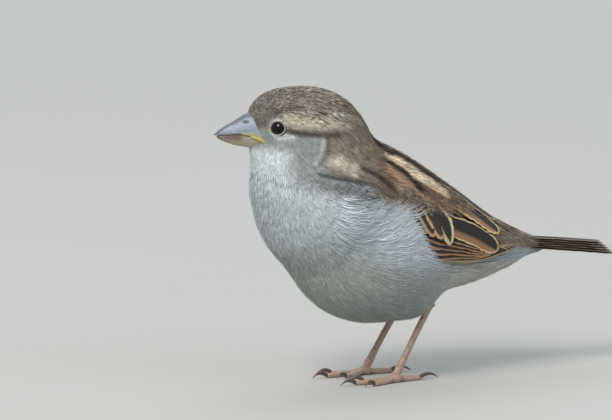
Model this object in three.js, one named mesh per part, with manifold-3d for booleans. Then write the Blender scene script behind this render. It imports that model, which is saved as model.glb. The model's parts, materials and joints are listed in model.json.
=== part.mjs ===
// House sparrow (Passer domesticus), life size: a young or female bird that stands hunched
// with its feathers fluffed and its head turned a little to its right.
// Millimetres. The bird looks along -X, its left side faces -Y and it stands on z = 0.
import * as THREE from "three";
import { ParametricGeometry } from "three/addons/geometries/ParametricGeometry.js";
import { mergeVertices } from "three/addons/utils/BufferGeometryUtils.js";
import Module from "manifold-3d";

const wasm = await Module();
wasm.setup();

// ---------------------------------------------------------------- driving dimensions
const GAP = 0.3; // clearance between neighbouring pieces
const HEAD_TURN = 18; // degrees, to the bird's right
const EYE_AXIS = [-33.8, 4.9, 73.05]; // middle of the line between the eyes
const BLEND = 2.4; // how softly the masses of the body melt together

const BILL = { tip: 16.2, lowerTip: 15.3, lowerWidth: 0.92, flank: 0.2, parting: 0.15 };
const EYE = { radius: 2.6, forward: -0.4, up: -0.3, sunk: 1.75 };
const WING = { from: -4, to: 66, inner: -1.7, rim: -0.4, outer: 0.2, rows: 4, cells: [24, 16] };
const WING_RELIEF = { row: 0.55, coverts: 0.45, covertsEnd: 31, covertsFade: 3 };
const VANE_THICKNESS = 0.62; // of one flight feather
const TAIL = { feathers: 12, length: 35.3, root: [36, 0, 37.2], droop: 6.5, spread: 0.9, step: 0.52 };
const LEG = { ankle: [9.5, 7.4, 19.5], foot: [-1.5, 8.4, 2.2], toeHeight: 0.6 };

const BROWN = 0x8a7560;
const GREY = 0xb9b4a6;

// ---------------------------------------------------------------- small helpers
const rad = THREE.MathUtils.degToRad;
const smooth = THREE.MathUtils.smoothstep;
const lerp = THREE.MathUtils.lerp;
const vec = (x, y, z) => new THREE.Vector3(x, y, z);

const headTurn = rad(HEAD_TURN);
const headForward = vec(-Math.cos(headTurn), Math.sin(headTurn), 0);
const headLeft = vec(-Math.sin(headTurn), -Math.cos(headTurn), 0);

// A point given as forward, left and up of the eye axis.
function headPoint(forward, left, up) {
  return vec(...EYE_AXIS)
    .addScaledVector(headForward, forward)
    .addScaledVector(headLeft, left)
    .add(vec(0, 0, up));
}

// Value at x of a line through [x, value] pairs.
function along(pairs, x) {
  const last = pairs.length - 1;
  if (x <= pairs[0][0]) return pairs[0][1];
  if (x >= pairs[last][0]) return pairs[last][1];
  const i = pairs.findIndex((p) => p[0] > x) - 1;
  const t = (x - pairs[i][0]) / (pairs[i + 1][0] - pairs[i][0]);
  return lerp(pairs[i][1], pairs[i + 1][1], t);
}

// A closed surface: point(around, length) with around in 0..1 and both ends drawn to a point.
function closedSurface(point, around, length) {
  const surface = (u, v, target) => {
    const pole = v < 1e-6 || v > 1 - 1e-6;
    target.copy(point(pole ? 0 : u % 1, v));
  };
  return new ParametricGeometry(surface, around, length);
}

// A closed geometry as a manifold-3d solid that faces out.
function solid(geometry) {
  const bare = geometry.index ? geometry.toNonIndexed() : geometry.clone();
  bare.deleteAttribute("normal");
  bare.deleteAttribute("uv");
  const merged = mergeVertices(bare, 1e-4);
  const corners = merged.index.array;
  const kept = [];
  for (let i = 0; i < corners.length; i += 3) {
    const [a, b, c] = [corners[i], corners[i + 1], corners[i + 2]];
    if (a !== b && b !== c && c !== a) kept.push(a, b, c);
  }
  const make = (triVerts) =>
    new wasm.Manifold(
      new wasm.Mesh({
        numProp: 3,
        vertProperties: new Float32Array(merged.attributes.position.array),
        triVerts: new Uint32Array(triVerts),
      }),
    );
  const made = make(kept);
  return made.volume() > 0 ? made : make(kept.reverse());
}

const joined = (solids) => solids.reduce((sum, next) => sum.add(next));

// The largest body of a solid, without crumbs that a cut leaves behind.
function largest(cut) {
  const bodies = cut.decompose();
  return bodies.reduce((best, next) => (next.volume() > best.volume() ? next : best));
}

// The frame's origin lies under the middle of the whole bird.
const ORIGIN = [11.1, 0, 0];
const group = new THREE.Group();
group.position.set(...ORIGIN).negate();

function addNode(name, part, color, roughness = 0.8) {
  const mesh = largest(part).getMesh();
  const geometry = new THREE.BufferGeometry()
    .setAttribute("position", new THREE.BufferAttribute(mesh.vertProperties, 3))
    .setIndex(new THREE.BufferAttribute(mesh.triVerts, 1));
  geometry.computeVertexNormals();
  const material = new THREE.MeshStandardMaterial({ color, roughness, metalness: 0 });
  const node = new THREE.Mesh(geometry, material);
  node.name = name;
  group.add(node);
}

// ---------------------------------------------------------------- form of head, neck and trunk
// Ellipsoids melt into one form. Radii run forward, sideways and up; pitch lifts the front.
function mass(at, radii, turn = 0, pitch = 0) {
  const [t, p] = [rad(turn), rad(pitch)];
  const forward = vec(-Math.cos(t) * Math.cos(p), Math.sin(t) * Math.cos(p), Math.sin(p));
  const left = vec(-Math.sin(t), -Math.cos(t), 0);
  const up = new THREE.Vector3().crossVectors(left, forward);
  return { at, axes: [forward, left, up.multiplyScalar(Math.sign(up.z))], radii };
}
const headMass = (f, l, u, radii, pitch = 0) => mass(headPoint(f, l, u), radii, HEAD_TURN, pitch);

const MASSES = {
  skull: headMass(-9.6, 0, 0.5, [12.6, 8.6, 9.0]),
  forehead: headMass(-0.5, 0, 1.9, [6.2, 3.2, 5.8], -30),
  cheekLeft: headMass(-10.0, 3.6, -3.7, [7.8, 5.5, 6.2]),
  cheekRight: headMass(-10.0, -3.6, -3.7, [7.8, 5.5, 6.2]),
  chin: headMass(-1.8, 0, -5.4, [6.5, 3.1, 4.5]),
  nape: headMass(-15.8, 0, -6.2, [11.4, 11.2, 10.4], -30),
  throat: mass(vec(-26.2, 2.2, 57.2), [13.4, 11.4, 11.2], 8),
  breast: mass(vec(-20, 0, 49.5), [18.6, 19.0, 18.6]),
  belly: mass(vec(-5, 0, 36.6), [23.3, 19.4, 20.4]),
  mantle: mass(vec(-4, 0, 52.5), [19.5, 15.5, 12.8], 0, 28),
  back: mass(vec(12, 0, 43), [22.0, 14.2, 12.0], 0, 30),
  rump: mass(vec(25, 0, 37.8), [17.0, 9.0, 6.2], 0, 18),
  vent: mass(vec(19, 0, 32.8), [18.0, 10.0, 7.6], 0, -6),
  tailCoverts: mass(vec(38, 0, 35.6), [14.0, 5.0, 2.6], 0, 8),
};
// The folded wings fill out the rump to this form, where their tips lie.
const WING_TIPS = mass(vec(36, 0, 36.0), [15.0, 7.0, 3.9], 0, 14);

function distanceTo({ at, axes, radii }, point) {
  const from = point.clone().sub(at);
  const local = axes.map((axis) => from.dot(axis));
  const scaled = Math.hypot(...local.map((q, i) => q / radii[i]));
  const slope = Math.hypot(...local.map((q, i) => q / radii[i] ** 2)) + 1e-9;
  return (scaled * (scaled - 1)) / slope;
}

// Distance to the melted form, negative inside.
function formDistance(masses, point) {
  const distances = masses.map((one) => distanceTo(one, point));
  const least = Math.min(...distances);
  const sum = distances.reduce((total, d) => total + Math.exp((least - d) / BLEND), 0);
  return least - BLEND * Math.log(sum);
}

// How far the form reaches from a point inside it, along a unit direction.
function reach(masses, from, direction) {
  const at = (r) => formDistance(masses, from.clone().addScaledVector(direction, r));
  let outside = 60;
  while (outside > 1 && at(outside - 1) > 0) outside -= 1;
  let inside = outside - 1;
  for (let i = 0; i < 14; i++) {
    const middle = (inside + outside) / 2;
    if (at(middle) < 0) inside = middle;
    else outside = middle;
  }
  return inside;
}

// Rays fan from this spine: forward at the bill, square to it amidships, back at the tail.
const SPINE = new THREE.CatmullRomCurve3(
  [
    headPoint(0, 0, -1.5),
    headPoint(-8, 0, -2),
    vec(-20, 0.9, 62),
    vec(-10, 0, 50),
    vec(4, 0, 43),
    vec(20, 0, 38.5),
    vec(33, 0, 36.6),
  ],
  false,
  "catmullrom",
);
const SPINE_AXIS = vec(0.95, -0.06, -0.3).normalize();

// Two unit vectors square to an axis: the one nearest to up, and the bird's left.
function upAndLeft(axis) {
  const left = new THREE.Vector3().crossVectors(vec(0, 0, 1), axis).normalize().negate();
  return { up: new THREE.Vector3().crossVectors(axis, left).normalize().negate(), left };
}

function bodyPoint(u, v) {
  const from = SPINE.getPoint(v);
  const { up, left } = upAndLeft(SPINE_AXIS);
  const x = 2 * v - 1;
  const tilt = (Math.PI / 2) * (1 + 0.25 * x + 0.75 * Math.sign(x) * Math.abs(x) ** 3.2);
  const direction = SPINE_AXIS.clone()
    .multiplyScalar(-Math.cos(tilt))
    .addScaledVector(up, Math.sin(tilt) * Math.cos(2 * Math.PI * u))
    .addScaledVector(left, Math.sin(tilt) * Math.sin(2 * Math.PI * u));
  const masses = Object.values(MASSES);
  return from.clone().addScaledVector(direction, reach(masses, from, direction));
}

const wholeBody = solid(closedSurface(bodyPoint, 28, 34));

// ---------------------------------------------------------------- bill
const CULMEN = [
  [0, 4.6],
  [6.85, 3.1],
  [10.45, 0.95],
  [13.55, -0.75],
  [15.4, -2.05],
  [16.2, -2.85],
];
const TOMIUM = [
  [0, -4.9],
  [2.4, -4.6],
  [5, -3.2],
  [9.6, -2.5],
  [16.2, -3.0],
];
const GONYS = [
  [0, -7.4],
  [4.4, -6.9],
  [10.4, -5.7],
  [13.5, -4.6],
  [15.6, -3.5],
];

// Half width of the bill, widest at the gape.
const BILL_HALF_WIDTH = [
  [0, 5.9],
  [2.4, 5.9],
  [4.9, 4.8],
  [7.5, 3.7],
  [10.4, 2.6],
  [13.5, 1.5],
  [15.5, 0.75],
  [16.2, 0.4],
];

// One mandible from inside the head to its tip. side is 1 for the upper and -1 for the lower.
function mandible(side, ridge, tip, grow) {
  const point = (u, v) => {
    const ends = Math.sqrt(Math.max(0, 1 - (2 * v - 1) ** 14));
    const forward = lerp(-grow, tip + grow, v ** 0.85);
    const angle = 2 * Math.PI * u;
    const edge = along(TOMIUM, forward) + side * (BILL.parting - grow);
    const crest = along(ridge, forward) + side * grow;
    const width = (along(BILL_HALF_WIDTH, forward) + grow) * (side > 0 ? 1 : BILL.lowerWidth);
    const rise = Math.max(0, Math.cos(angle)) ** 0.9;
    const flank = 1 - BILL.flank * rise;
    const left = width * flank * Math.sign(Math.sin(angle)) * Math.abs(Math.sin(angle)) ** 0.85;
    const middle = (edge + crest) / 2;
    const up = lerp(middle, edge + (crest - edge) * rise, ends);
    return headPoint(forward, left * ends, up);
  };
  return solid(closedSurface(point, 12, 12));
}

function billPieces(grow) {
  const upper = mandible(1, CULMEN, BILL.tip, grow);
  const lower = mandible(-1, GONYS, BILL.lowerTip, grow);
  return { upper, lower };
}

// ---------------------------------------------------------------- eyes
// The eyeball is sunk along the normal of the head's side, so that only its cap shows.
function eyeBall(side, grow) {
  const masses = Object.values(MASSES);
  const from = headPoint(EYE.forward, 0, EYE.up);
  const outward = headLeft.clone().multiplyScalar(side);
  const surface = from.clone().addScaledVector(outward, reach(masses, from, outward));
  const slope = [vec(1, 0, 0), vec(0, 1, 0), vec(0, 0, 1)].map((axis) => {
    const ahead = formDistance(masses, surface.clone().add(axis));
    return ahead - formDistance(masses, surface.clone().sub(axis));
  });
  const at = surface.addScaledVector(vec(...slope).normalize(), -EYE.sunk);
  return solid(new THREE.SphereGeometry(EYE.radius + grow, 16, 10).translate(at.x, at.y, at.z));
}

// ---------------------------------------------------------------- folded wings
// Places on the folded wing: mm along this axis, and degrees round it from the top to the side.
const WING_ORIGIN = vec(-20, 0, 56);
const WING_AXIS = vec(66, 0, -21.5).normalize();

function wingPoint(side, length, degrees, offset) {
  const from = WING_ORIGIN.clone().addScaledVector(WING_AXIS, length);
  const { up, left } = upAndLeft(WING_AXIS);
  const direction = up
    .multiplyScalar(Math.cos(rad(degrees)))
    .addScaledVector(left, side * Math.sin(rad(degrees)));
  const masses = [...Object.values(MASSES), WING_TIPS];
  const distance = reach(masses, from, direction) + offset;
  return { point: from.addScaledVector(direction, distance), distance };
}

// Upper and lower edge of the folded wing, in degrees round its axis.
const WING_TOP = [
  [-4, 78],
  [8, 60],
  [24, 50],
  [42, 38],
  [56, 34],
  [66, 58],
];
const WING_BOTTOM = [
  [-4, 92],
  [8, 99],
  [20, 112],
  [33, 128],
  [42, 134],
  [55, 122],
  [66, 90],
];

// Each feather of the folded wing lies on the next one down, and the coverts lie on them all.
function wingRelief(length, across) {
  const row = across * WING.rows;
  const { row: rowHeight, coverts, covertsEnd, covertsFade } = WING_RELIEF;
  const feather = rowHeight * (row - Math.floor(row));
  return feather + coverts * (1 - smooth(length, covertsEnd - covertsFade, covertsEnd));
}

// The plate of the folded wing, whose smooth inner face fits the body.
function wingPlate(side, grow, cover) {
  const point = (u, v) => {
    const length = lerp(WING.from - grow, WING.to + grow, v);
    const ends = Math.sqrt(Math.max(0, 1 - (2 * v - 1) ** 10));
    const margin = grow * 4;
    const top = along(WING_TOP, length) - margin;
    const bottom = along(WING_BOTTOM, length) + margin;
    const outside = u <= 0.5;
    const across = outside ? 2 * u : 2 - 2 * u;
    const rim = Math.min(1, 8 * across, 8 * (1 - across));
    const outer = cover + WING.outer + wingRelief(length, across);
    const farthest = outside ? outer : WING.inner - grow;
    const spread = (across - 0.5) * lerp(0.4, 1, ends);
    const degrees = (top + bottom) / 2 + (bottom - top) * spread;
    return wingPoint(side, length, degrees, lerp(WING.rim, farthest, rim * ends)).point;
  };
  return solid(closedSurface(point, ...WING.cells));
}

// One vane from root to tip, each given as [length, degrees], lying on the folded wing.
function wingVane(side, { root, tip, width, lift }, grow) {
  const point = (u, v) => {
    const round = v > 0.72 ? Math.sqrt(Math.max(0, 1 - ((v - 0.72) / 0.28) ** 2)) : 1;
    const base = smooth(v, -0.4, 0.2);
    const half = (width / 2 + grow) * round * base * (v < 1e-6 ? 0 : 1);
    const angle = 2 * Math.PI * u;
    const length = lerp(root[0] - grow, tip[0] + grow, v);
    const middle = lerp(root[1], tip[1], v);
    const thick = (VANE_THICKNESS / 2) * Math.min(1, round + 0.35) + grow;
    const offset = lift + thick * Math.sin(angle);
    const { distance } = wingPoint(side, length, middle, lift);
    const degrees = middle + ((half * Math.cos(angle)) / Math.max(distance, 4)) * (180 / Math.PI);
    return wingPoint(side, length, degrees, offset).point;
  };
  return solid(closedSurface(point, 6, 6));
}

// The tips of the primaries, which reach past the plate.
function wingVanes(side, grow) {
  const count = 4;
  return Array.from({ length: count }, (_, i) => {
    const t = i / (count - 1);
    const root = [36, lerp(124, 108, t)];
    const tip = [lerp(59, 67.5, t), lerp(116, 84, t)];
    return wingVane(side, { root, tip, width: 5.5, lift: lerp(0.3, -0.2, t) }, grow);
  });
}

// ---------------------------------------------------------------- tail
const tailDroop = rad(TAIL.droop);
const tailBack = vec(Math.cos(tailDroop), 0, -Math.sin(tailDroop));
const tailUp = vec(Math.sin(tailDroop), 0, Math.cos(tailDroop));

// One tail feather. place runs from -5.5 to 5.5 across the closed tail.
function tailVane(place) {
  const outward = Math.abs(place);
  const length = TAIL.length - 2.2 + 0.5 * outward;
  const point = (u, v) => {
    const round = v > 0.8 ? Math.sqrt(Math.max(0, 1 - ((v - 0.8) / 0.2) ** 2)) : 1;
    const half = lerp(1.6, 3.6, smooth(v, 0, 0.6)) * round * (v < 1e-6 ? 0 : 1);
    const angle = 2 * Math.PI * u;
    const across = half * Math.cos(angle);
    const side = place * lerp(0.35, TAIL.spread, v) + across;
    const roof = -0.09 * Math.abs(side) - TAIL.step * outward;
    const thick = 0.34 * Math.sin(angle) * Math.min(1, round + 0.3);
    return vec(...TAIL.root)
      .addScaledVector(tailBack, length * v)
      .addScaledVector(tailUp, roof + thick + 0.7)
      .add(vec(0, side, 0));
  };
  return solid(closedSurface(point, 4, 4));
}

function tailVanes() {
  const middle = (TAIL.feathers - 1) / 2;
  return Array.from({ length: TAIL.feathers }, (_, i) => tailVane(i - middle));
}

// ---------------------------------------------------------------- legs
// A round limb along a curve. radius(t) gives its thickness, flat its width over its height.
function limb(points, radius, around, length, flat = 1) {
  const curve = new THREE.CatmullRomCurve3(points, false, "centripetal");
  const point = (u, v) => {
    const tangent = curve.getTangent(v);
    const side = new THREE.Vector3().crossVectors(tangent, vec(0, 0, 1));
    if (side.length() < 0.05) side.set(0, 1, 0);
    side.normalize();
    const up = new THREE.Vector3().crossVectors(side, tangent).normalize();
    const end = Math.sqrt(Math.max(0, 1 - (2 * v - 1) ** 12));
    const r = radius(v) * end;
    const angle = 2 * Math.PI * u;
    return curve
      .getPoint(v)
      .addScaledVector(side, r * flat * Math.cos(angle))
      .addScaledVector(up, r * Math.sin(angle));
  };
  return solid(closedSurface(point, around, length));
}

const TOES = {
  hind: { heading: 176, length: 8.0, radius: 0.95, claw: 6.2 },
  inner: { heading: 24, length: 9.0, radius: 0.85, claw: 4.4 },
  middle: { heading: 2, length: 12.5, radius: 0.9, claw: 4.8 },
  outer: { heading: -22, length: 9.6, radius: 0.82, claw: 4.2 },
};

// The level direction a toe points in. Positive headings turn towards the bird's midline.
function toeDirection(side, heading) {
  return vec(-Math.cos(rad(heading)), side * Math.sin(rad(heading)), 0);
}

const mirrored = (side, [x, y, z]) => vec(x, -side * y, z);

function toe(side, { heading, length, radius }) {
  const foot = mirrored(side, LEG.foot);
  const along3 = toeDirection(side, heading);
  const place = (d, z) => foot.clone().addScaledVector(along3, d).setZ(z);
  const joints = (t) => 1 + 0.12 * Math.cos(t * 6 * Math.PI);
  const points = [
    place(-0.8, 1.5),
    place(length * 0.3, LEG.toeHeight + 0.25),
    place(length * 0.65, LEG.toeHeight),
    place(length, LEG.toeHeight),
  ];
  return limb(points, (t) => radius * lerp(1.1, 0.85, t) * joints(t), 6, 8);
}

function claw(side, toeSize) {
  const foot = mirrored(side, LEG.foot);
  const along3 = toeDirection(side, toeSize.heading);
  const start = toeSize.length + GAP;
  const place = (d, z) => foot.clone().addScaledVector(along3, start + d).setZ(z);
  const height = LEG.toeHeight;
  const points = [
    place(0, height + 0.1),
    place(toeSize.claw * 0.45, height + 0.75),
    place(toeSize.claw, height - 0.2),
  ];
  return limb(points, (t) => lerp(0.62, 0.22, t), 6, 6);
}

function foot(side) {
  const pad = new THREE.SphereGeometry(1, 10, 6).scale(2.0, 1.7, 1.5);
  const at = mirrored(side, LEG.foot);
  const padSolid = solid(pad.translate(at.x, at.y, 1.2));
  const whole = joined([padSolid, ...Object.values(TOES).map((one) => toe(side, one))]);
  return whole.trimByPlane([0, 0, 1], 0);
}

const shankPoints = (side) => {
  const [ankle, low] = [mirrored(side, LEG.ankle), mirrored(side, LEG.foot)];
  const above = ankle.clone().lerp(low, -0.12);
  return [above, ankle, ankle.clone().lerp(low, 0.5), low.clone().setZ(1.6)];
};

function shank(side, grow) {
  const radius = (t) => along([[0, 1.15], [0.14, 1.45], [0.3, 0.95], [0.8, 0.88], [1, 1.3]], t);
  return limb(shankPoints(side), (t) => radius(t) + grow, 8, 10, 0.85);
}

// The feathered part of the leg, a short cone that leaves the belly.
function thigh(side, grow) {
  const ankle = mirrored(side, LEG.ankle);
  const points = [
    ankle.clone().add(vec(-6, side * 1.6, 9.5)),
    ankle.clone().add(vec(-2.4, side * 0.3, 3.6)),
    ankle.clone().add(vec(0.3, 0, -1.2)),
  ];
  return limb(points, (t) => lerp(5.0, 2.2, smooth(t, 0, 1)) + grow, 12, 8);
}

// ---------------------------------------------------------------- putting the bird together
const SIDES = { left: 1, right: -1 };

// Cuts between head, neck, trunk and tail: a point on each, and its normal towards the tail.
const CUTS = {
  neckTop: { point: headPoint(-12, 0, -2.3), normal: headForward.clone().multiplyScalar(-0.38) },
  neckFoot: { point: headPoint(-13, 0, -11.6), normal: headForward.clone().multiplyScalar(-0.26) },
  tailRoot: { point: vec(40.5, 0, 36), normal: vec(0.98, 0, -0.2) },
};
CUTS.neckTop.normal.z = -0.926;
CUTS.neckFoot.normal.z = -0.965;

// What lies before (toward the bill) or after (toward the tail) a cut, half a gap away from it.
function trimmed(part, { point, normal }, after) {
  const sign = after ? 1 : -1;
  const unit = normal.clone().normalize();
  const offset = sign * unit.dot(point) + GAP / 2;
  return part.trimByPlane(unit.multiplyScalar(sign).toArray(), offset);
}

const ROOM_ABOVE_WING = 6;
function wingRoom(side) {
  return joined([wingPlate(side, GAP, ROOM_ABOVE_WING), ...wingVanes(side, GAP)]);
}
const pockets = joined(Object.values(SIDES).map(wingRoom));
const carved = wholeBody.subtract(pockets);

function buildHead() {
  const socket = billPieces(GAP);
  const eyes = Object.values(SIDES).map((side) => eyeBall(side, GAP));
  const head = trimmed(carved, CUTS.neckTop, false);
  return head.subtract(joined([socket.upper, socket.lower, ...eyes]));
}

function buildTrunk() {
  const trunk = trimmed(trimmed(carved, CUTS.neckFoot, true), CUTS.tailRoot, false);
  const legs = Object.values(SIDES).flatMap((side) => [thigh(side, GAP), shank(side, GAP)]);
  return trunk.subtract(joined(legs));
}

function buildTail() {
  const coverts = trimmed(wholeBody, CUTS.tailRoot, true);
  const vanes = trimmed(joined(tailVanes()), CUTS.tailRoot, true);
  return coverts.add(vanes).subtract(pockets);
}

function buildWing(side) {
  return joined([wingPlate(side, 0, 0), ...wingVanes(side, 0)]);
}

function buildLeg(name, side) {
  const shankSolid = shank(side, 0);
  const footSolid = foot(side);
  addNode(`thigh_${name}`, thigh(side, 0).subtract(shank(side, GAP)), GREY);
  addNode(`shank_${name}`, shankSolid.trimByPlane([0, 0, 1], 3.1), 0xb08d78, 0.6);
  addNode(`foot_${name}`, footSolid.trimByPlane([0, 0, -1], -2.8), 0xb08d78, 0.6);
  for (const [toeName, size] of Object.entries(TOES)) {
    addNode(`claw_${toeName}_${name}`, claw(side, size), 0x4a4038, 0.4);
  }
}

const bill = billPieces(0);
addNode("head", buildHead(), BROWN);
addNode("neck", trimmed(trimmed(carved, CUTS.neckTop, true), CUTS.neckFoot, false), GREY);
addNode("trunk", buildTrunk(), GREY);
addNode("tail", buildTail(), 0x4b4038);
addNode("bill_upper", bill.upper, 0x9d97a0, 0.45);
addNode("bill_lower", bill.lower, 0xc2ac92, 0.45);
for (const [name, side] of Object.entries(SIDES)) {
  addNode(`eye_${name}`, eyeBall(side, 0), 0x0b0806, 0.05);
  addNode(`wing_${name}`, buildWing(side), 0x6b5543);
  buildLeg(name, side);
}

export default group;
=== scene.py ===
# %% [markdown]
# # A house sparrow, life size
# The bird is dressed the way it is in life. One skin gives the body its form, small soft feathers lie
# over the skin like shingles, and the long stiff feathers of wings and tail are made one by one.
# Bill, eyes, legs and claws are bare. The bird looks along -X and its left side faces -Y.

import json
import math

import bpy
import numpy as np
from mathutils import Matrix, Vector

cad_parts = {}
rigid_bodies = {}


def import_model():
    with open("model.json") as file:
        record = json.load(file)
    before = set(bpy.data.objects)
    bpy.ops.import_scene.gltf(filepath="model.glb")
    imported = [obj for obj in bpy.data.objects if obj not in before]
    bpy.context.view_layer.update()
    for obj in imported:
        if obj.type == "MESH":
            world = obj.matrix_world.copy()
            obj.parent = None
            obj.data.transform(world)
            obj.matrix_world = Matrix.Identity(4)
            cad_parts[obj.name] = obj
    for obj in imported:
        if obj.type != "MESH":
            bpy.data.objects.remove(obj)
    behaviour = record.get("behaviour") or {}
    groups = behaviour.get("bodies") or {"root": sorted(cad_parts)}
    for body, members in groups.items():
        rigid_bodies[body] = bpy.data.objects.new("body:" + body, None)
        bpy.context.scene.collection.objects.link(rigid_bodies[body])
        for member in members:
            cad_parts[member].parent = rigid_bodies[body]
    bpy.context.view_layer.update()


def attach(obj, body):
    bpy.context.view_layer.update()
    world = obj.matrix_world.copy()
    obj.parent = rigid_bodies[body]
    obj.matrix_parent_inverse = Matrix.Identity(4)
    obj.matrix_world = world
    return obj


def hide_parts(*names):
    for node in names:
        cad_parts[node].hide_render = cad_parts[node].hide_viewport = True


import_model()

# %% [markdown]
# ## Measures
# A bird is easier to describe in millimetres from its own middle. One function turns such points into
# metres of the frame. The others are the small tools that every later step uses: unit vectors, straight
# and soft blends, a line through pairs of numbers and a smooth curve through places.

# %% Small tools
MM = 0.001
ORIGIN = np.array([11.1, 0.0, 0.0])  # the frame's origin, in the bird's own millimetres
SIDES = {"left": 1, "right": -1}


def metres(points):
    return (np.asarray(points, dtype=float) - ORIGIN) * MM


def unit(vectors):
    vectors = np.asarray(vectors, dtype=float)
    return vectors / np.maximum(np.linalg.norm(vectors, axis=-1, keepdims=True), 1e-9)


def dot(a, b):
    return np.sum(a * b, axis=-1)


def blend(a, b, t):
    return a + (b - a) * t


def ramp(x, low, high):
    """0 below low, 1 above high and soft between. high may be the smaller one."""
    t = np.clip((np.asarray(x, dtype=float) - low) / (high - low), 0, 1)
    return t * t * (3 - 2 * t)


def line(pairs, x):
    """Value at x of a line through (x, value) pairs."""
    return np.interp(x, *np.transpose(pairs))


def curve(places, t):
    """A smooth curve through a list of places, t running from 0 at the first to 1 at the last."""
    places = np.asarray(places, dtype=float)
    padded = np.vstack([2 * places[0] - places[1], places, 2 * places[-1] - places[-2]])
    place = np.clip(t, 0, 1) * (len(places) - 1)
    i = np.minimum(place.astype(int), len(places) - 2)
    t = (place - i)[..., None]
    a, b, c, d = (padded[i + k] for k in range(4))
    slope = c - a
    bend = 2 * a - 5 * b + 4 * c - d
    twist = 3 * b - a - 3 * c + d
    return 0.5 * (2 * b + slope * t + bend * t**2 + twist * t**3)


print("halfway up a soft ramp:", float(ramp(0.5, 0, 1)))

# %% [markdown]
# ## Turning arrays into meshes
# Thousands of feathers are too many to model by hand or to make one object each. Their corners are
# worked out as arrays instead, and one function writes an array as one mesh, with colours and numbers
# stored on its points for the materials to read. The map named OFBake says where each point's colour
# lies when the finish is baked. Bill, eyes and legs are shells: rings of points, each ring closed.

# %% A mesh from arrays
def linear(hex_colour):
    """An sRGB hex colour as linear red, green and blue."""
    parts = np.array([int(hex_colour[i : i + 2], 16) for i in (0, 2, 4)]) / 255
    return np.where(parts <= 0.04045, parts / 12.92, ((parts + 0.055) / 1.055) ** 2.4)


def new_piece(name, points, faces, material, colours=None, numbers=None, bake=None):
    """A mesh object. Colours and numbers are kept on its points, bake is its map named OFBake."""
    mesh = bpy.data.meshes.new(name)
    mesh.vertices.add(len(points))
    mesh.vertices.foreach_set("co", metres(points).astype(np.float32).ravel())
    faces = np.asarray(faces, dtype=np.int32)
    mesh.loops.add(faces.size)
    mesh.loops.foreach_set("vertex_index", faces.ravel())
    mesh.polygons.add(len(faces))
    mesh.polygons.foreach_set("loop_start", np.arange(0, faces.size, faces.shape[1], dtype=np.int32))
    mesh.polygons.foreach_set("use_smooth", np.ones(len(faces), dtype=bool))
    for key, values in (colours or {}).items():
        layer = mesh.color_attributes.new(name=key, type="FLOAT_COLOR", domain="POINT")
        rgba = np.concatenate([values, np.ones((len(values), 1))], axis=1)
        layer.data.foreach_set("color", rgba.astype(np.float32).ravel())
    for key, values in (numbers or {}).items():
        layer = mesh.attributes.new(name=key, type="FLOAT", domain="POINT")
        layer.data.foreach_set("value", np.asarray(values, dtype=np.float32).ravel())
    if bake is not None:
        layer = mesh.uv_layers.new(name="OFBake")
        layer.data.foreach_set("uv", bake[faces.ravel()].astype(np.float32).ravel())
    mesh.update(calc_edges=True)
    mesh.validate()
    mesh.materials.append(material)
    piece = bpy.data.objects.new(name, mesh)
    bpy.context.scene.collection.objects.link(piece)
    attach(piece, "root")
    return piece


print("warm brown in linear light:", linear("7c6854").round(3))


# %% Grids and shells
def grid_faces(rows, columns, wrap=False):
    """Quads of a grid of points, row by row. wrap joins the last column to the first."""
    across = np.arange(columns if wrap else columns - 1)
    row = np.arange(rows - 1)[:, None] * columns
    a = row + across
    b = row + (across + 1) % columns
    return np.stack([a, b, b + columns, a + columns], axis=-1).reshape(-1, 4)


def shell_map(rows, columns):
    """The unwrap of a shell: round it from left to right, along it from bottom to top."""
    along, around = np.meshgrid(np.linspace(0, 1, rows), np.arange(columns) / columns, indexing="ij")
    return 0.02 + 0.96 * np.stack([around, along], axis=-1).reshape(-1, 2)


def new_shell(name, rings, material, colours=None, numbers=None):
    """A piece from rings of points, with colours and numbers given ring by ring."""
    shape = rings.shape[:2]
    return new_piece(
        name,
        rings.reshape(-1, 3),
        grid_faces(*shape, wrap=True),
        material,
        {key: grid.reshape(-1, 3) for key, grid in (colours or {}).items()},
        {key: grid.ravel() for key, grid in (numbers or {}).items()},
        shell_map(*shape),
    )


def angles_round(columns):
    """Angles of evenly spaced points round a ring."""
    return 2 * math.pi * np.arange(columns) / columns


print("quads of a shell of 3 rings of 8:", len(grid_faces(3, 8, wrap=True)))

# %% [markdown]
# ## The form of the body
# Under its feathers a bird is a handful of round masses that melt into each other: skull, cheeks,
# throat, breast, belly, back and rump. Each mass here is an egg shape, and a soft minimum of their
# distances melts them, so no seam shows between head, neck and trunk. The head sits turned to the
# bird's right, so its masses are placed from the line between the eyes.

# %% Masses of the body
HEAD_TURN = math.radians(18)
EYE_AXIS = np.array([-33.8, 4.9, 73.05])  # middle of the line between the eyes
MELT = 2.4  # how softly the masses join, in mm
HEAD_AXES = np.array(
    [
        [-math.cos(HEAD_TURN), math.sin(HEAD_TURN), 0],
        [-math.sin(HEAD_TURN), -math.cos(HEAD_TURN), 0],
        [0, 0, 1],
    ]
)


def head_point(forward, left, up):
    forward, left, up = np.broadcast_arrays(forward, left, up)
    return EYE_AXIS + np.stack([forward, left, up], axis=-1) @ HEAD_AXES


def to_head(points):
    """Forward, left and up of the eye axis."""
    return np.moveaxis((points - EYE_AXIS) @ HEAD_AXES.T, -1, 0)


def mass(at, radii, turn=0, pitch=0):
    t, p = math.radians(turn), math.radians(pitch)
    forward = np.array([-math.cos(t) * math.cos(p), math.sin(t) * math.cos(p), math.sin(p)])
    left = np.array([-math.sin(t), -math.cos(t), 0])
    up = np.cross(left, forward)
    return np.asarray(at, dtype=float), np.stack([forward, left, up * np.sign(up[2])]), np.array(radii)


def head_mass(forward, left, up, radii, pitch=0):
    return mass(head_point(forward, left, up), radii, math.degrees(HEAD_TURN), pitch)


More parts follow.
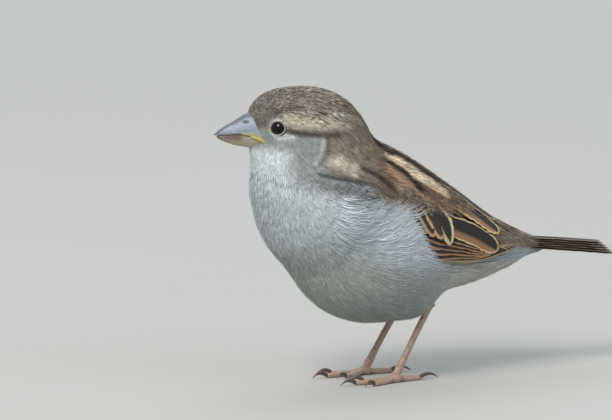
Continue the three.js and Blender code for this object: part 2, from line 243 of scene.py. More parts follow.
MASSES = {
    "skull": head_mass(-9.6, 0, 0.5, [12.6, 8.6, 9.0]),
    "forehead": head_mass(-0.5, 0, 1.9, [6.2, 3.2, 5.8], -30),
    "cheek left": head_mass(-10.0, 3.6, -3.7, [7.8, 5.5, 6.2]),
    "cheek right": head_mass(-10.0, -3.6, -3.7, [7.8, 5.5, 6.2]),
    "chin": head_mass(-1.8, 0, -5.4, [6.5, 3.1, 4.5]),
    "nape": head_mass(-15.8, 0, -6.2, [11.4, 11.2, 10.4], -30),
    "throat": mass([-26.2, 2.2, 57.2], [13.4, 11.4, 11.2], 8),
    "breast": mass([-20, 0, 49.5], [18.6, 19.0, 18.6]),
    "belly": mass([-5, 0, 36.6], [23.3, 19.4, 20.4]),
    "mantle": mass([-4, 0, 52.5], [19.5, 15.5, 12.8], 0, 28),
    "back": mass([12, 0, 43], [22.0, 14.2, 12.0], 0, 30),
    "rump": mass([25, 0, 37.8], [17.0, 9.0, 6.2], 0, 18),
    "vent": mass([19, 0, 32.8], [18.0, 10.0, 7.6], 0, -6),
    "tail coverts": mass([38, 0, 35.6], [14.0, 5.0, 2.6], 0, 8),
}
THIGHS = [mass([6.2, -side * 7.4, 24.5], [3.6, 3.4, 6.2], 0, 24) for side in SIDES.values()]
WING_TIPS = mass([36, 0, 36.0], [15.0, 7.0, 3.9], 0, 14)
BODY = list(MASSES.values())
NORMAL_STEP = 0.2  # mm either way, for the slope of the form
HALVINGS = 12  # of the last millimetre of a ray
print("masses in the form:", ", ".join(MASSES))


# %% Distance to the form
def form_distance(points, masses):
    """Distance to the melted form, negative inside."""
    distances = []
    for at, axes, radii in masses:
        local = (points - at) @ axes.T
        scaled = np.linalg.norm(local / radii, axis=-1)
        slope = np.linalg.norm(local / radii**2, axis=-1) + 1e-9
        distances.append(scaled * (scaled - 1) / slope)
    distances = np.stack(distances)
    least = distances.min(axis=0)
    return least - MELT * np.log(np.exp((least - distances) / MELT).sum(axis=0))


def reach(start, direction, masses, farthest=60):
    """How far the form reaches from points inside it, along unit directions: in 1 mm steps, then halves."""
    outside = np.full(len(start), float(farthest))
    moving = np.arange(len(start))
    while len(moving):
        trial = start[moving] + direction[moving] * (outside[moving] - 1)[:, None]
        moving = moving[(form_distance(trial, masses) > 0) & (outside[moving] > 1)]
        outside[moving] -= 1
    inside = outside - 1
    for _ in range(HALVINGS):
        middle = (inside + outside) / 2
        within = form_distance(start + direction * middle[:, None], masses) < 0
        inside = np.where(within, middle, inside)
        outside = np.where(within, outside, middle)
    return inside


def form_normal(points, masses):
    steps = np.eye(3) * NORMAL_STEP
    rise = [form_distance(points + s, masses) - form_distance(points - s, masses) for s in steps]
    return unit(np.stack(rise, axis=-1))


top = head_point([0.0], 0, 0)
print("top of the head over the eyes:", reach(top, np.array([[0, 0, 1.0]]), BODY).round(1), "mm")

# %% [markdown]
# ## A map of the body
# Every feather needs a root, a way to lie and a place on the unwrapped skin. A map gives all three: u
# runs round the body from the top over the left side, and v runs from the bill to the tail. Rays from
# a spine inside the body find the surface for each (u, v), and feathers follow v, from bill to tail,
# just as plumage lies.

# %% Map of the body surface
AROUND, ALONG = 192, 320  # points of the map
V_START, V_END = 0.004, 0.996  # just short of the poles at bill and tail
V_STEP = (V_END - V_START) / (ALONG - 1)
FAN, FAN_POWER = 0.25, 3.2  # how evenly, and how late, the rays turn from sideways to fore and aft
SPINE = np.array(
    [
        head_point(0, 0, -1.5),
        head_point(-8, 0, -2),
        [-20, 0.9, 62],
        [-10, 0, 50],
        [4, 0, 43],
        [20, 0, 38.5],
        [33, 0, 36.6],
    ]
)
SPINE_AXIS = unit([0.95, -0.06, -0.3])
SPINE_LEFT = unit(-np.cross([0, 0, 1], SPINE_AXIS))
SPINE_UP = -np.cross(SPINE_AXIS, SPINE_LEFT)


def body_rays(u, v):
    """Where the ray for each (u, v) starts on the spine, and its direction."""
    x = 2 * v - 1
    tilt = (math.pi / 2) * (1 + FAN * x + (1 - FAN) * np.sign(x) * np.abs(x) ** FAN_POWER)
    around = np.cos(2 * np.pi * u)[:, None] * SPINE_UP + np.sin(2 * np.pi * u)[:, None] * SPINE_LEFT
    return curve(SPINE, v), np.sin(tilt)[:, None] * around - np.cos(tilt)[:, None] * SPINE_AXIS


map_v, map_u = np.meshgrid(np.linspace(V_START, V_END, ALONG), np.arange(AROUND) / AROUND, indexing="ij")
starts, directions = body_rays(map_u.ravel(), map_v.ravel())
distances = reach(starts, directions, BODY + THIGHS)
surface = (starts + directions * distances[:, None]).reshape(ALONG, AROUND, 3)
MAP = {
    "point": surface,
    "normal": form_normal(surface.reshape(-1, 3), BODY + THIGHS).reshape(ALONG, AROUND, 3),
    "by u": (np.roll(surface, -1, axis=1) - np.roll(surface, 1, axis=1)) * AROUND / 2,
    "by v": np.gradient(surface, V_STEP, axis=0),
}
print("rays:", AROUND, "by", ALONG)


# %% Reading the map
def on_body(key, u, v):
    """A quantity of the map between its grid points."""
    table = MAP[key]
    x = (np.asarray(u) % 1) * AROUND
    y = np.clip((np.asarray(v) - V_START) / V_STEP, 0, ALONG - 1.001)  # so that j + 1 is a row too
    i, j = x.astype(int) % AROUND, y.astype(int)
    right, down = (x - np.floor(x))[..., None], (y - j)[..., None]
    above = blend(table[j, i], table[j, (i + 1) % AROUND], right)
    below = blend(table[j + 1, i], table[j + 1, (i + 1) % AROUND], right)
    return blend(above, below, down)


CELL_AREA = np.linalg.norm(np.cross(MAP["by u"], MAP["by v"]), axis=-1) * V_STEP / AROUND
print(f"body surface: {CELL_AREA.sum():.0f} square mm, map of {AROUND} by {ALONG} points")

# %% [markdown]
# ## Places on the folded wing
# The folded wing lies along a slanting axis. A place on it is a distance along that axis and a number
# of degrees round it, from the ridge of the back (0) to the side (90) and under (180). The same two
# numbers serve to say where a marking of the back or flank lies.

# %% Wing places
WING_ORIGIN = np.array([-20.0, 0.0, 56.0])
WING_AXIS = unit([66, 0, -21.5])
WING_UP = unit(np.array([0, 0, 1]) - WING_AXIS * WING_AXIS[2])
LEFT = np.array([0.0, -1.0, 0.0])


def to_wing(points):
    """Distance along the wing axis, and degrees round it on either side."""
    offset = points - WING_ORIGIN
    degrees = np.degrees(np.arctan2(np.abs(offset @ LEFT), offset @ WING_UP))
    return offset @ WING_AXIS, degrees


def wing_point(side, length, degrees, height=0.0):
    """A point over the folded wing, with the surface normal there."""
    length, degrees, height = np.broadcast_arrays(length, degrees, height)
    shape = length.shape
    angle = np.radians(degrees.ravel())[:, None]
    start = WING_ORIGIN + length.ravel()[:, None] * WING_AXIS
    direction = np.cos(angle) * WING_UP + side * np.sin(angle) * LEFT
    form = BODY + [WING_TIPS]
    points = start + direction * reach(start, direction, form, farthest=30)[:, None]
    normals = form_normal(points, form)
    points = points + normals * height.ravel()[:, None]
    return points.reshape(*shape, 3), normals.reshape(*shape, 3)


print("wing axis slopes", round(math.degrees(math.asin(-WING_AXIS[2])), 1), "degrees down")

# %% [markdown]
# ## Markings
# The markings of a sparrow are laws of place: a pale brow over the eye, a dark stripe behind it, grey
# cheeks, a brown neck, pale underparts. One function paints them for any point of the body, and both
# skin and feathers ask it, so they always agree. It works like a painter, in layers: each layer is a
# colour and a mask that says where it covers what lies below. Stripes are drawn along paths, on the
# head in mm forward and up of the eye axis, on the back in the wing's own two numbers.

# %% Colours by place
PLUMAGE = {
    name: linear(hex_colour)
    for name, hex_colour in {
        "crown": "a2998c",
        "forehead": "8e8a81",
        "brow": "d4cab6",
        "brow fleck": "cfd0c6",
        "eye stripe": "42392f",
        "lore": "67645e",
        "cheek": "8b9193",
        "cheek edge": "b9bab6",
        "cheek shade": "4b4640",
        "eye ring": "dcdedb",
        "nape": "948876",
        "neck side": "8c8073",
        "neck buff": "ece4d0",
        "shoulder": "77787a",
        "throat": "c6d0d3",
        "breast": "b3bcc0",
        "flank": "b8c2c8",
        "belly": "a4a8a5",
        "vent": "c2c0ba",
        "back": "7c6854",
        "rump": "8a7c6b",
        "mantle black": "1a1716",
        "mantle buff": "f4dec0",
        "mantle rufous": "b9977b",
        # painted shadow where the feathers part at the bend of the neck
        "shoulder shadow": "3a332e",
        "shoulder pale": "a5937f",
        # dark grey of the feathers' bases, also used as painted shade between the locks
        "down": "504d4a",
        "streak": "3d362f",
    }.items()
}
EYE_PLACE = (-0.4, -0.3)  # forward and up of the eye axis
BROW_PATH = [(-3.4, 2.9), (-6.0, 2.2), (-11.0, 1.7), (-20.0, 1.5)]
CROWN_EDGE_PATH = [(1.0, 3.2), (-2.3, 4.5), (-6.6, 5.5)]
BROW_FLECKS = [[(-7.5, 4.3), (-10.5, 4.1)], [(-16.5, 3.2), (-20.0, 2.6)]]
BROW_GAP = [(-12.3, 4.0), (-13.6, 3.2)]
EYE_STRIPE_PATH = [(-2.4, -0.9), (-7.0, -1.7), (-12.0, -2.0), (-17.0, -2.2)]
UNDER_EYE_PATH = [(-0.2, -3.3), (-4.2, -2.7)]
LORE_PATH = [(5.6, 0.8), (2.4, 0.9)]
CHEEK_EDGE_PATH = [(-12.4, -2.6), (-12.0, -6.5), (-9.3, -9.8)]
CHEEK_SHADE_PATH = [(-13.7, -2.4), (-13.5, -6.5), (-11.2, -9.9)]
NECK_BUFF = [(-8, 59), (-5, 64), (-1, 70)]
SHOULDER_PATCH = [(-9, 94), (-3, 92), (5, 91)]
# painted shadow: the dark line where the feathers part at the bend of the neck, in the wing's two numbers
SHOULDER_SHADOW = [(-9.5, 83), (-6, 83), (-3, 82), (1.5, 81), (6.5, 80), (11, 83)]
MANTLE_STRIPES = [  # colour, strength, path and half width
    ("mantle rufous", 0.95, [(11, 58), (17, 67), (24, 77)], 1.5),
    ("mantle buff", 1.0, [(13.5, 42), (17.5, 45), (21, 52), (26.5, 55), (31, 58)], 2.3),
    ("mantle black", 0.8, [(18.5, 38), (19.3, 51)], 0.15),
    ("mantle black", 0.8, [(24, 45), (24.5, 60)], 0.15),
    ("shoulder pale", 0.8, [(14, 74), (20, 79), (26, 84)], 1.3),
    ("mantle buff", 0.6, [(5, 12), (14, 16), (28, 22)], 0.5),
    ("mantle black", 0.9, [(4, 5), (14, 8), (28, 14)], 0.8),
    ("mantle black", 1.0, [(9, 26), (12.5, 33), (14, 35)], 1.2),
    ("mantle black", 1.0, [(8, 20), (12, 24), (16.4, 28), (24, 35), (32, 42)], 1.8),
    ("mantle black", 1.0, [(11, 48), (16.7, 57)], 0.8),
    ("mantle black", 1.0, [(16.7, 57), (23, 71)], 1.1),
    ("mantle black", 0.8, [(2, 66), (8, 70), (13, 78)], 0.8),
]
MM_PER_DEGREE = 0.3  # round the middle of the body
print(len(PLUMAGE), "plumage colours,", len(MANTLE_STRIPES), "stripes on the mantle")


# %% Painting in layers
def paint(points, ground, layers):
    """Colours at points: a ground colour, and layers of (colour name, mask) painted over it."""
    colours = np.broadcast_to(PLUMAGE[ground], points.shape)
    for name, mask in layers:
        colours = blend(colours, PLUMAGE[name], mask[..., None])
    return colours


def stripe(place, path, width, soft=0.7):
    """1 on a stripe along a path of points, fading to 0 at its soft edge. width is half its width."""
    nearest = np.full(place.shape[:-1], np.inf)
    for a, b in zip(np.array(path[:-1]), np.array(path[1:])):
        t = np.clip((place - a) @ (b - a) / dot(b - a, b - a), 0, 1)
        nearest = np.minimum(nearest, np.linalg.norm(place - a - t[..., None] * (b - a), axis=-1))
    return ramp(nearest, width + soft, width - soft)


def above_neck(points):
    """Height over the slanting line where the head meets the neck, in mm."""
    forward, _, up = to_head(points)
    return 0.38 * (forward + 12) + 0.926 * (up + 2.3)


print("nape over the neck line:", above_neck(head_point(-20.0, 0.0, 2.0)).round(1), "mm")


# %% Colours of body and head
def body_colours(points):
    length, degrees = to_wing(points)
    forward = to_head(points)[0]
    z = points[..., 2]
    place = np.stack([length, degrees * MM_PER_DEGREE], axis=-1)

    def wing_stripe(path, width, soft=0.5):
        return stripe(place, [(along, round_it * MM_PER_DEGREE) for along, round_it in path], width, soft)

    # the turned neck covers the fore part of the right shoulder
    bare_shoulder = np.where(points[..., 1] > 0, ramp(length, -4, 2), 1)
    rump_edge = 16 * ramp(length, 46, 54)  # degrees by which the brown reaches further down near the tail
    layers = [
        ("breast", ramp(z, 30, 44)),
        ("vent", ramp(length, 36, 46)),
        ("flank", ramp(degrees, 140, 122) * ramp(length, -13, -5)),
        ("throat", ramp(z, 50, 60) * ramp(length, -6, -13)),
        ("cheek", 0.9 * ramp(z, 54, 60) * ramp(forward, -1, -6)),
        ("shoulder", 0.7 * bare_shoulder * wing_stripe(SHOULDER_PATCH, 1.4, 1.6)),
        ("neck side", ramp(degrees, 84, 74) * ramp(forward, -11.5, -14)),
        ("nape", ramp(degrees, 62, 44) * ramp(forward, -12.5, -16)),
        ("neck buff", 0.75 * bare_shoulder * wing_stripe(NECK_BUFF, 2.2, 2.0)),
        # painted shadow where the feathers part at the bend of the neck
        ("shoulder shadow", 0.95 * bare_shoulder * wing_stripe(SHOULDER_SHADOW, 0.6, 0.6)),
        ("back", ramp(length, 5, 10) * ramp(degrees, 96, 84)),
    ]
    layers += [(name, strength * wing_stripe(path, width)) for name, strength, path, width in MANTLE_STRIPES]
    layers.append(("rump", ramp(length, 38, 46) * ramp(degrees, 96 + rump_edge, 84 + rump_edge)))
    return paint(points, "belly", layers)


def head_colours(points):
    forward, _, up = to_head(points)
    place = np.stack([forward, up], axis=-1)
    from_eye = np.hypot(forward - EYE_PLACE[0], up - EYE_PLACE[1])
    ring_strength = blend(0.75, 0.3, ramp(forward, 0.2, 1.8))  # weaker in front of the eye
    layers = [
        ("forehead", ramp(forward, -6, 3)),
        ("nape", ramp(forward, -17, -24)),
        ("neck side", ramp(forward, -12.6, -14.5) * ramp(up, 0.5, -1.5)),
        ("cheek", ramp(up, 0.0, -1.8) * ramp(forward, -14.2, -12.8)),
        ("throat", ramp(forward, -6, 0) * ramp(up, -4, -8)),
        ("brow", stripe(place, BROW_PATH, 1.7, 0.9) * ramp(forward, -23, -17)),
        *[("brow fleck", 0.75 * stripe(place, path, 0.6)) for path in BROW_FLECKS],
        *[("eye stripe", 0.7 * stripe(place, path, 0.5)) for path in (BROW_GAP, CROWN_EDGE_PATH)],
        ("lore", 0.7 * stripe(place, LORE_PATH, 1.0, 0.9)),
        ("cheek edge", 0.9 * stripe(place, CHEEK_EDGE_PATH, 0.4)),
        ("cheek shade", stripe(place, CHEEK_SHADE_PATH, 0.5, 0.5)),
        ("eye ring", 0.5 * stripe(place, UNDER_EYE_PATH, 0.7, 0.8)),
        ("eye ring", ramp(from_eye, 2.9, 2.3) * ring_strength),
        ("eye stripe", 0.95 * stripe(place, EYE_STRIPE_PATH, 0.75, 0.5)),
    ]
    return paint(points, "crown", layers)


def markings(points):
    """Colour of the plumage at any point of head, neck and trunk."""
    on_head = ramp(above_neck(points), -8.0, -5.5)[..., None]
    return blend(body_colours(points), head_colours(points), on_head)


print("colour of the nape:", markings(head_point(-20.0, 0.0, 2.0)).round(2))

# %% [markdown]
# ## How the coat lies
# Feathers are tiny at the bill and long on the belly. These rules give, for any place, the spacing of
# the roots, the length and half width of a feather, and the depth of the coat, so that skin and roots
# lie under the form and the feather tips reach it. On the flanks the loose plumes are combed upwards,
# over the edge of the wing.

# %% Rules of the coat
# mm along the wing, and degrees round the body where the back's soft feathers end and the flank's begin
SCAPULAR_EDGE = [(-4, 96), (8, 86), (24, 82), (29, 76), (33, 68), (38, 44), (44, 28)]
SCAPULAR_EDGE += [(46, 38), (47, 66), (49, 84), (56, 100)]  # rump feathers start under the tertial tips
WING_BOTTOM = [(-4, 92), (8, 99), (16, 108), (22, 124), (33, 137), (42, 141), (55, 128), (66, 90)]
FACE_EDGE = [(-6.5, 3.4), (-2.5, 4.0), (-0.5, 5.2), (1.5, 6.2), (3.4, 6.9)]  # (up, forward) at the bill
HEAD_LENGTHS = [(-26, 7.5), (-18, 6.0), (-5, 4.4), (2, 2.8), (6, 1.6)]


def head_share(points):
    return ramp(above_neck(points), -6, 2)


def by_region(points, head_pairs, body_value):
    """A measure of the coat: pairs of (forward, value) on the head, one value on the body."""
    return blend(body_value, line(head_pairs, to_head(points)[0]), head_share(points))


def feather_spacing(points):
    return by_region(points, [(-20, 0.72), (-8, 0.52), (3, 0.42), (7, 0.36)], 0.85)


def feather_length(points):
    length, degrees = to_wing(points)
    body = 8.0 + 3.0 * ramp(points[..., 2], 45, 30) + 3.5 * ramp(length, -6, 6)
    body = body - 3.0 * ramp(degrees, 98, 88) * ramp(length, 34, 28)
    longer_throat = 1 + 0.8 * ramp(to_head(points)[2], -4, -8) * head_share(points)
    return by_region(points, HEAD_LENGTHS, body) * longer_throat


def feather_half_width(points):
    return by_region(points, [(-20, 1.5), (-5, 0.95), (3, 0.7), (7, 0.5)], 2.6)


def coat_depth(points):
    return by_region(points, [(-24, 1.5), (-10, 0.9), (0, 0.55), (7, 0.3)], 1.9)


def under_wing(points):
    """True where stiff wing feathers hide the body. Soft feathers overlap their rim from above."""
    length, degrees = to_wing(points)
    inside = (degrees > line(SCAPULAR_EDGE, length)) & (degrees < line(WING_BOTTOM, length))
    return inside & (length > -2) & (length < 64)


def combing(points):
    """Degrees by which feathers are turned up from the line of the body."""
    length, degrees = to_wing(points)
    flank = ramp(length, -12, -4) * ramp(length, 18, 8) * ramp(degrees, 78, 92) * ramp(degrees, 140, 118)
    return 34 * flank - 10 * ramp(length, 14, 24) * ramp(degrees, 150, 136)


lengths = feather_length(MAP["point"])
print(f"feather length {lengths.min():.1f} to {lengths.max():.1f} mm")

# %% [markdown]
# ## The skin
# One closed skin replaces the solids of head, neck, trunk and thighs, so no cut shows. It is the map of
# the body pressed in by the depth of the coat, and carries the same markings a little darker: partly as
# the down under the feathers is, partly as painted shade where the feathers part, which is what the eye
# sees there. Its finish, like most finishes here, reads a colour stored on the mesh and shades it with a
# fine pattern.

# %% Materials
def add_node(tree, kind, inputs=(), **properties):
    """Adds a node, sets its properties, and gives its inputs numbers or other nodes' outputs.

    inputs is a dict by name or number, or a list in the node's own order."""
    node = tree.nodes.new(kind)
    for key, value in properties.items():
        setattr(node, key, value)
    for key, source in inputs.items() if isinstance(inputs, dict) else enumerate(inputs):
        if isinstance(source, bpy.types.NodeSocket):
            tree.links.new(source, node.inputs[key])
        else:
            node.inputs[key].default_value = source
    return node


def new_material(name, **settings):
    """A material with one Principled shader. Returns it with its node tree and that shader."""
    material = bpy.data.materials.new(name)
    material.use_nodes = True
    shader = material.node_tree.nodes["Principled BSDF"]
    for key, value in settings.items():
        shader.inputs[key.replace("_", " ")].default_value = value
    return material, material.node_tree, shader


def shade_stored(tree, shader, stored, pattern, limits, shades):
    """The colour stored on the mesh, shaded: pattern runs between limits and the shade between shades."""
    colour = add_node(tree, "ShaderNodeAttribute", attribute_name=stored)
    shade = add_node(tree, "ShaderNodeMapRange", [pattern, *limits, *shades])
    factors = [colour.outputs["Color"], shade.outputs["Result"]]
    shaded = add_node(tree, "ShaderNodeVectorMath", factors, operation="MULTIPLY")
    tree.links.new(shaded.outputs["Vector"], shader.inputs["Base Color"])


def roughen(tree, shader, pattern, strength, depth):
    """Lets a pattern stand up from the surface by depth metres."""
    bump = add_node(tree, "ShaderNodeBump", {"Height": pattern, "Strength": strength, "Distance": depth})
    tree.links.new(bump.outputs["Normal"], shader.inputs["Normal"])


def soft_plumage(name, low, high):
    """Keratin barbs, loose and matt. Each lock is a little lighter or darker than the next."""
    material, tree, shader = new_material(name, Roughness=0.72, IOR=1.54, Specular_IOR_Level=0.3)
    where = add_node(tree, "ShaderNodeTexCoord").outputs["Object"]
    grain = add_node(tree, "ShaderNodeTexNoise", {"Vector": where, "Scale": 1600.0, "Detail": 2.0})
    shade_stored(tree, shader, "plumage", grain.outputs["Fac"], (0.3, 0.7), (low, high))
    return material


skin_material = soft_plumage("down over bare skin", 0.8, 1.1)
print(skin_material.name, "has", len(skin_material.node_tree.nodes), "nodes")

# %% Skin mesh
SKIN_STEP = 2  # every second point of the map is enough under the coat
DOWN_AND_GAP_SHADE = 0.7  # how much darker the skin is than the feathers over it: darker down, and painted shade where they part
every = (slice(None, None, SKIN_STEP), slice(None, None, SKIN_STEP))
rows = MAP["point"][every]
skin_points = (rows - MAP["normal"][every] * coat_depth(rows)[..., None]).reshape(-1, 3)
# the skin carries the markings darkened: darker down, and painted shade where the feathers part
down = markings(rows.reshape(-1, 3)) * DOWN_AND_GAP_SHADE
skin_map = np.stack([map_u[every], map_v[every]], axis=-1).reshape(-1, 2)
skin_faces = grid_faces(*rows.shape[:2], wrap=True)
skin = new_piece("skin", skin_points, skin_faces, skin_material, {"plumage": down}, bake=skin_map)
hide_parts("head", "neck", "trunk", "thigh_left", "thigh_right")
print("skin:", len(skin_faces), "quads")

# %% [markdown]
# ## Body feathers as tufts of locks
# A small body feather is a shaft with soft barbs that cling together in locks. Modelled barb by barb
# there would be millions, so each feather here is a fan of thin tapering locks, each tipped to one
# side so that it catches its own light. Roots are spread evenly over the map by a number pattern, the
# way seeds fill a sunflower, more densely where the spacing rule asks for it.

# %% Roots of the feathers
GOLDEN = np.array([0.7548776662466927, 0.5698402909980532])  # steps of an even two-way pattern
WALK_STEPS = 4  # from the root of a feather to its tip


def scatter(density, seed):
    """Roots over the map, about density of them per square mm. Returns their u and v."""
    weight = CELL_AREA * density  # feathers in each cell of the map
    steps = (seed + np.arange(1, int(weight.sum()) + 1)[:, None] * GOLDEN) % 1
    # the first number of each pair finds the row of the map
    row_weight = weight.sum(axis=1)
    edges = np.concatenate([[0], np.cumsum(row_weight)]) / row_weight.sum()
    row = np.clip(np.interp(steps[:, 0], edges, np.arange(ALONG + 1)) - 0.5, 0, ALONG - 1)
    # the second finds the cell in that row, and the place within the cell
    reached = np.cumsum(weight, axis=1) / np.maximum(row_weight, 1e-9)[:, None]
    reached = reached[row.round().astype(int)]
    cell = (reached < steps[:, 1:]).sum(axis=1)
    before = np.where(cell > 0, np.take_along_axis(reached, np.maximum(cell - 1, 0)[:, None], 1)[:, 0], 0)
    width = np.take_along_axis(reached, np.minimum(cell, AROUND - 1)[:, None], 1)[:, 0] - before
    u = (cell + (steps[:, 1] - before) / np.maximum(width, 1e-9) - 0.5) / AROUND
    return u % 1, V_START + row * V_STEP


print("roots on the whole body:", len(scatter(1 / feather_spacing(MAP["point"]) ** 2, 0.5)[0]))


# %% Walking along the coat
def follow_coat(u, v, length, turn):
    """Walks from each root along the lie of the coat. Per step: u, v and what 1 mm to the side adds."""
    walk = []
    for number in range(WALK_STEPS + 1):
        bend = turn * 2 * number / WALK_STEPS  # feathers start along the body and curve as they go
        by_u, by_v, normal = on_body("by u", u, v), on_body("by v", u, v), unit(on_body("normal", u, v))
        flow = unit(by_v - normal * dot(by_v, normal)[:, None])
        side = np.cross(normal, flow)
        heading = flow * np.cos(bend)[:, None] + side * np.sin(bend)[:, None]
        side = np.cross(normal, heading)
        a, b, c = dot(by_u, by_u), dot(by_u, by_v), dot(by_v, by_v)
        area = np.maximum(a * c - b * b, 1e-6)
        side_u = (c * dot(by_u, side) - b * dot(by_v, side)) / area
        side_v = (a * dot(by_v, side) - b * dot(by_u, side)) / area
        step_u = (c * dot(by_u, heading) - b * dot(by_v, heading)) / area
        step_v = (a * dot(by_v, heading) - b * dot(by_u, heading)) / area
        walk.append(np.stack([u, v, side_u, side_v], axis=-1))
        u = u + step_u * length / WALK_STEPS
        v = np.clip(v + step_v * length / WALK_STEPS, V_START, V_END - 0.001)
    return np.stack(walk, axis=1)


def over_coat(walk, along, across, height):
    """Points at a share of the way along each feather, mm to its side and mm above the form."""
    shape = along.shape
    along, across, height = (x.reshape(len(walk), -1) for x in (along, across, height))
    place = np.clip(along, 0, 1) * WALK_STEPS
    i = np.minimum(place.astype(int), WALK_STEPS - 1)
    feather = np.arange(len(walk))[:, None]
    here = blend(walk[feather, i], walk[feather, i + 1], (place - i)[..., None])
    u = here[..., 0] + across * here[..., 2]
    v = np.clip(here[..., 1] + across * here[..., 3], V_START, V_END)
    points = on_body("point", u, v) + on_body("normal", u, v) * height[..., None]
    return points.reshape(*shape, 3)


flank_walk = follow_coat(*np.array([[0.25], [0.55], [10.0], [0.3]]))
print("a 10 mm feather on the flank runs to v =", flank_walk[0, -1, 1].round(3))

# %% Tufts
LOCK_STATIONS = np.array([0.0, 0.4, 0.75, 1.0])
LOCK_WIDTHS = np.array([0.75, 1.0, 0.8, 0.0])
LOCK_FACES = np.array([[0, 1, 3], [0, 3, 2], [2, 3, 5], [2, 5, 4], [4, 5, 6]])
LOCK_POINTS = 7  # two at each station but the last, which is a point
TUFT_PATCH = 0.003  # width of a tuft's place on the map named OFBake
FAN_WIDTH = 2.6  # of a tuft, locks and all, in half widths of its feather


def lock_corners(count, locks, each, rng):
    """Corners of the locks, as feather, lock, station and left or right edge.

    Returns each lock's place in the fan, from -1 to 1, how far along the feather each corner is,
    how many mm the lock's middle and the corner are to the side, and mm over the form."""
    station = LOCK_STATIONS[:, None]
    edge = np.array([-1.0, 1.0])
    spread = np.linspace(-1, 1, locks) + rng.normal(0, 0.5 / locks, (count, locks))
    end = 1 - 0.28 * spread**2 - rng.uniform(0, 0.16, (count, locks))
    along = np.broadcast_to(end[..., None, None] * station, (count, locks, len(LOCK_STATIONS), 2))
    middle = spread[..., None, None] * each["half width"] * (0.35 + 0.65 * station**0.8)
    across = middle + edge * each["lock"] * LOCK_WIDTHS[:, None]
    tip = each["tilt"] * rng.uniform(-1, 1, (count, locks, 1, 1))
    rise = each["rise"] + each["fluff"] * rng.normal(0, 1, (count, locks, 1, 1))
    height = rise * along**1.5 - each["depth"] * (1 - along) ** 1.4
    height = height - 0.05 * middle**2 * (each["depth"] > 1)  # long feathers curl down at their sides
    return spread, along, middle, across, height + (across - middle) * np.tan(tip)


def lock_colours(places, spread, along, look, rng):
    """Markings at the root of each lock station, made uneven and streaked, and darker towards the base:
    partly the feather's own dusky base, partly painted shade under the locks that overlap it.
    """
    count, locks = spread.shape
    tone = rng.normal(1, look["mottle"][:, None], (count, 1))
    tone = tone * rng.normal(1, look["lock tone"][:, None], (count, locks))
    darkness = np.minimum(look["streak"] * rng.uniform(0, 2, count), 0.95)[:, None]
    dark_middle = darkness * ramp(np.abs(spread), 0.7, 0.2)
    colours = markings(places) * tone[..., None, None]
    colours = blend(colours, PLUMAGE["streak"], dark_middle[..., None, None])
    # darker towards the root: the feather's dusky base, and painted shade under the locks over it
    dusky_base_and_shade = look["dusky_base_and_shade"][:, None, None] * ramp(along, 0.85, 0.3)
    return blend(colours, PLUMAGE["down"], dusky_base_and_shade[..., None])


def make_tufts(name, roots, locks, look, material, seed):
    """One mesh of feathers, each a fan of locks. look gives the measures of each feather."""
    u, v = roots
    count = len(u)
    rng = np.random.default_rng(seed)
    each = {key: np.reshape(value, (-1, 1, 1, 1)) for key, value in look.items()}
    length = look["length"] * rng.uniform(0.85, 1.15, count)
    turn = look["turn"] + rng.normal(0, look["unruly"], count)
    walk = follow_coat(u, v, length, turn)
    spread, along, middle, across, height = lock_corners(count, locks, each, rng)
    points = over_coat(walk, along, across, height)

    places = over_coat(walk, along[..., 0], middle[..., 0], np.zeros_like(middle[..., 0]))
    colours = lock_colours(places, spread, along[..., 0], look, rng)
    colours = np.repeat(np.clip(colours, 0, 1)[:, :, :, None], 2, axis=3)
    local = np.stack([across / np.maximum(each["half width"], 0.1) / FAN_WIDTH, along - 0.5], axis=-1)
    root = np.reshape(np.stack([u, v], axis=-1), (count, 1, 1, 1, 2))
    bake = np.clip(root + local * TUFT_PATCH, 0, 1)

    points, colours, bake = (
        grid.reshape(count * locks, 2 * len(LOCK_STATIONS), -1)[:, :LOCK_POINTS].reshape(-1, grid.shape[-1])
        for grid in (points, colours, bake)
    )
    faces = (np.arange(count * locks)[:, None, None] * LOCK_POINTS + LOCK_FACES).reshape(-1, 3)
    new_piece(name, points, faces, material, {"plumage": colours}, bake=bake)
    print(f"{name}: {count} feathers, {len(faces)} triangles")


print("triangles in a lock:", len(LOCK_FACES))


# %% Measures of each feather
def look_at(roots):
    """Measures of the feathers that grow from these roots."""
    u, v = roots
    points = on_body("point", u, v)
    forward, _, up = to_head(points)
    length, degrees = to_wing(points)
    on_head = head_share(points)
    brown = np.maximum(ramp(degrees, 96, 80) * ramp(forward, -12, -15), on_head * ramp(up, -1, 1))
    crown = on_head * ramp(up, 1.5, 4)
    shoulder = ramp(length, -12, -8) * ramp(length, 9, 5) * ramp(degrees, 76, 82) * ramp(degrees, 102, 96)
    mantle = ramp(length, 2, 8) * ramp(degrees, 96, 88) * (1 - on_head)
    lock = by_region(points, [(-18, 0.13), (-4, 0.10), (6, 0.08)], 0.15)
    return {
        "length": feather_length(points),
        "half width": feather_half_width(points),
        "depth": coat_depth(points),
        "lock": lock * (1 + 0.5 * mantle),  # half width of one lock
        "rise": blend(0.35, 0.1, on_head),  # of the tip, over the form
        "fluff": blend(0.09, 0.06, on_head),  # how unevenly the locks rise
        "tilt": np.radians(blend(12.0, 32.0, brown)),  # of each lock, to either side
        "turn": np.radians(combing(points)) * np.where(u < 0.5, 1, -1),
        "unruly": 0.08,
        "mottle": 0.04 + 0.12 * crown + 0.09 * brown + 0.07 * mantle + 0.14 * shoulder,
        "lock tone": 0.08 + 0.1 * crown + 0.02 * on_head,
        "streak": 0.05 + 0.24 * brown + 0.42 * crown + 0.25 * shoulder,
        # how far each lock darkens towards its root: dusky base and painted shade
        "dusky_base_and_shade": blend(0.4, 0.2, on_head) + 0.18 * crown - 0.2 * mantle,
    }


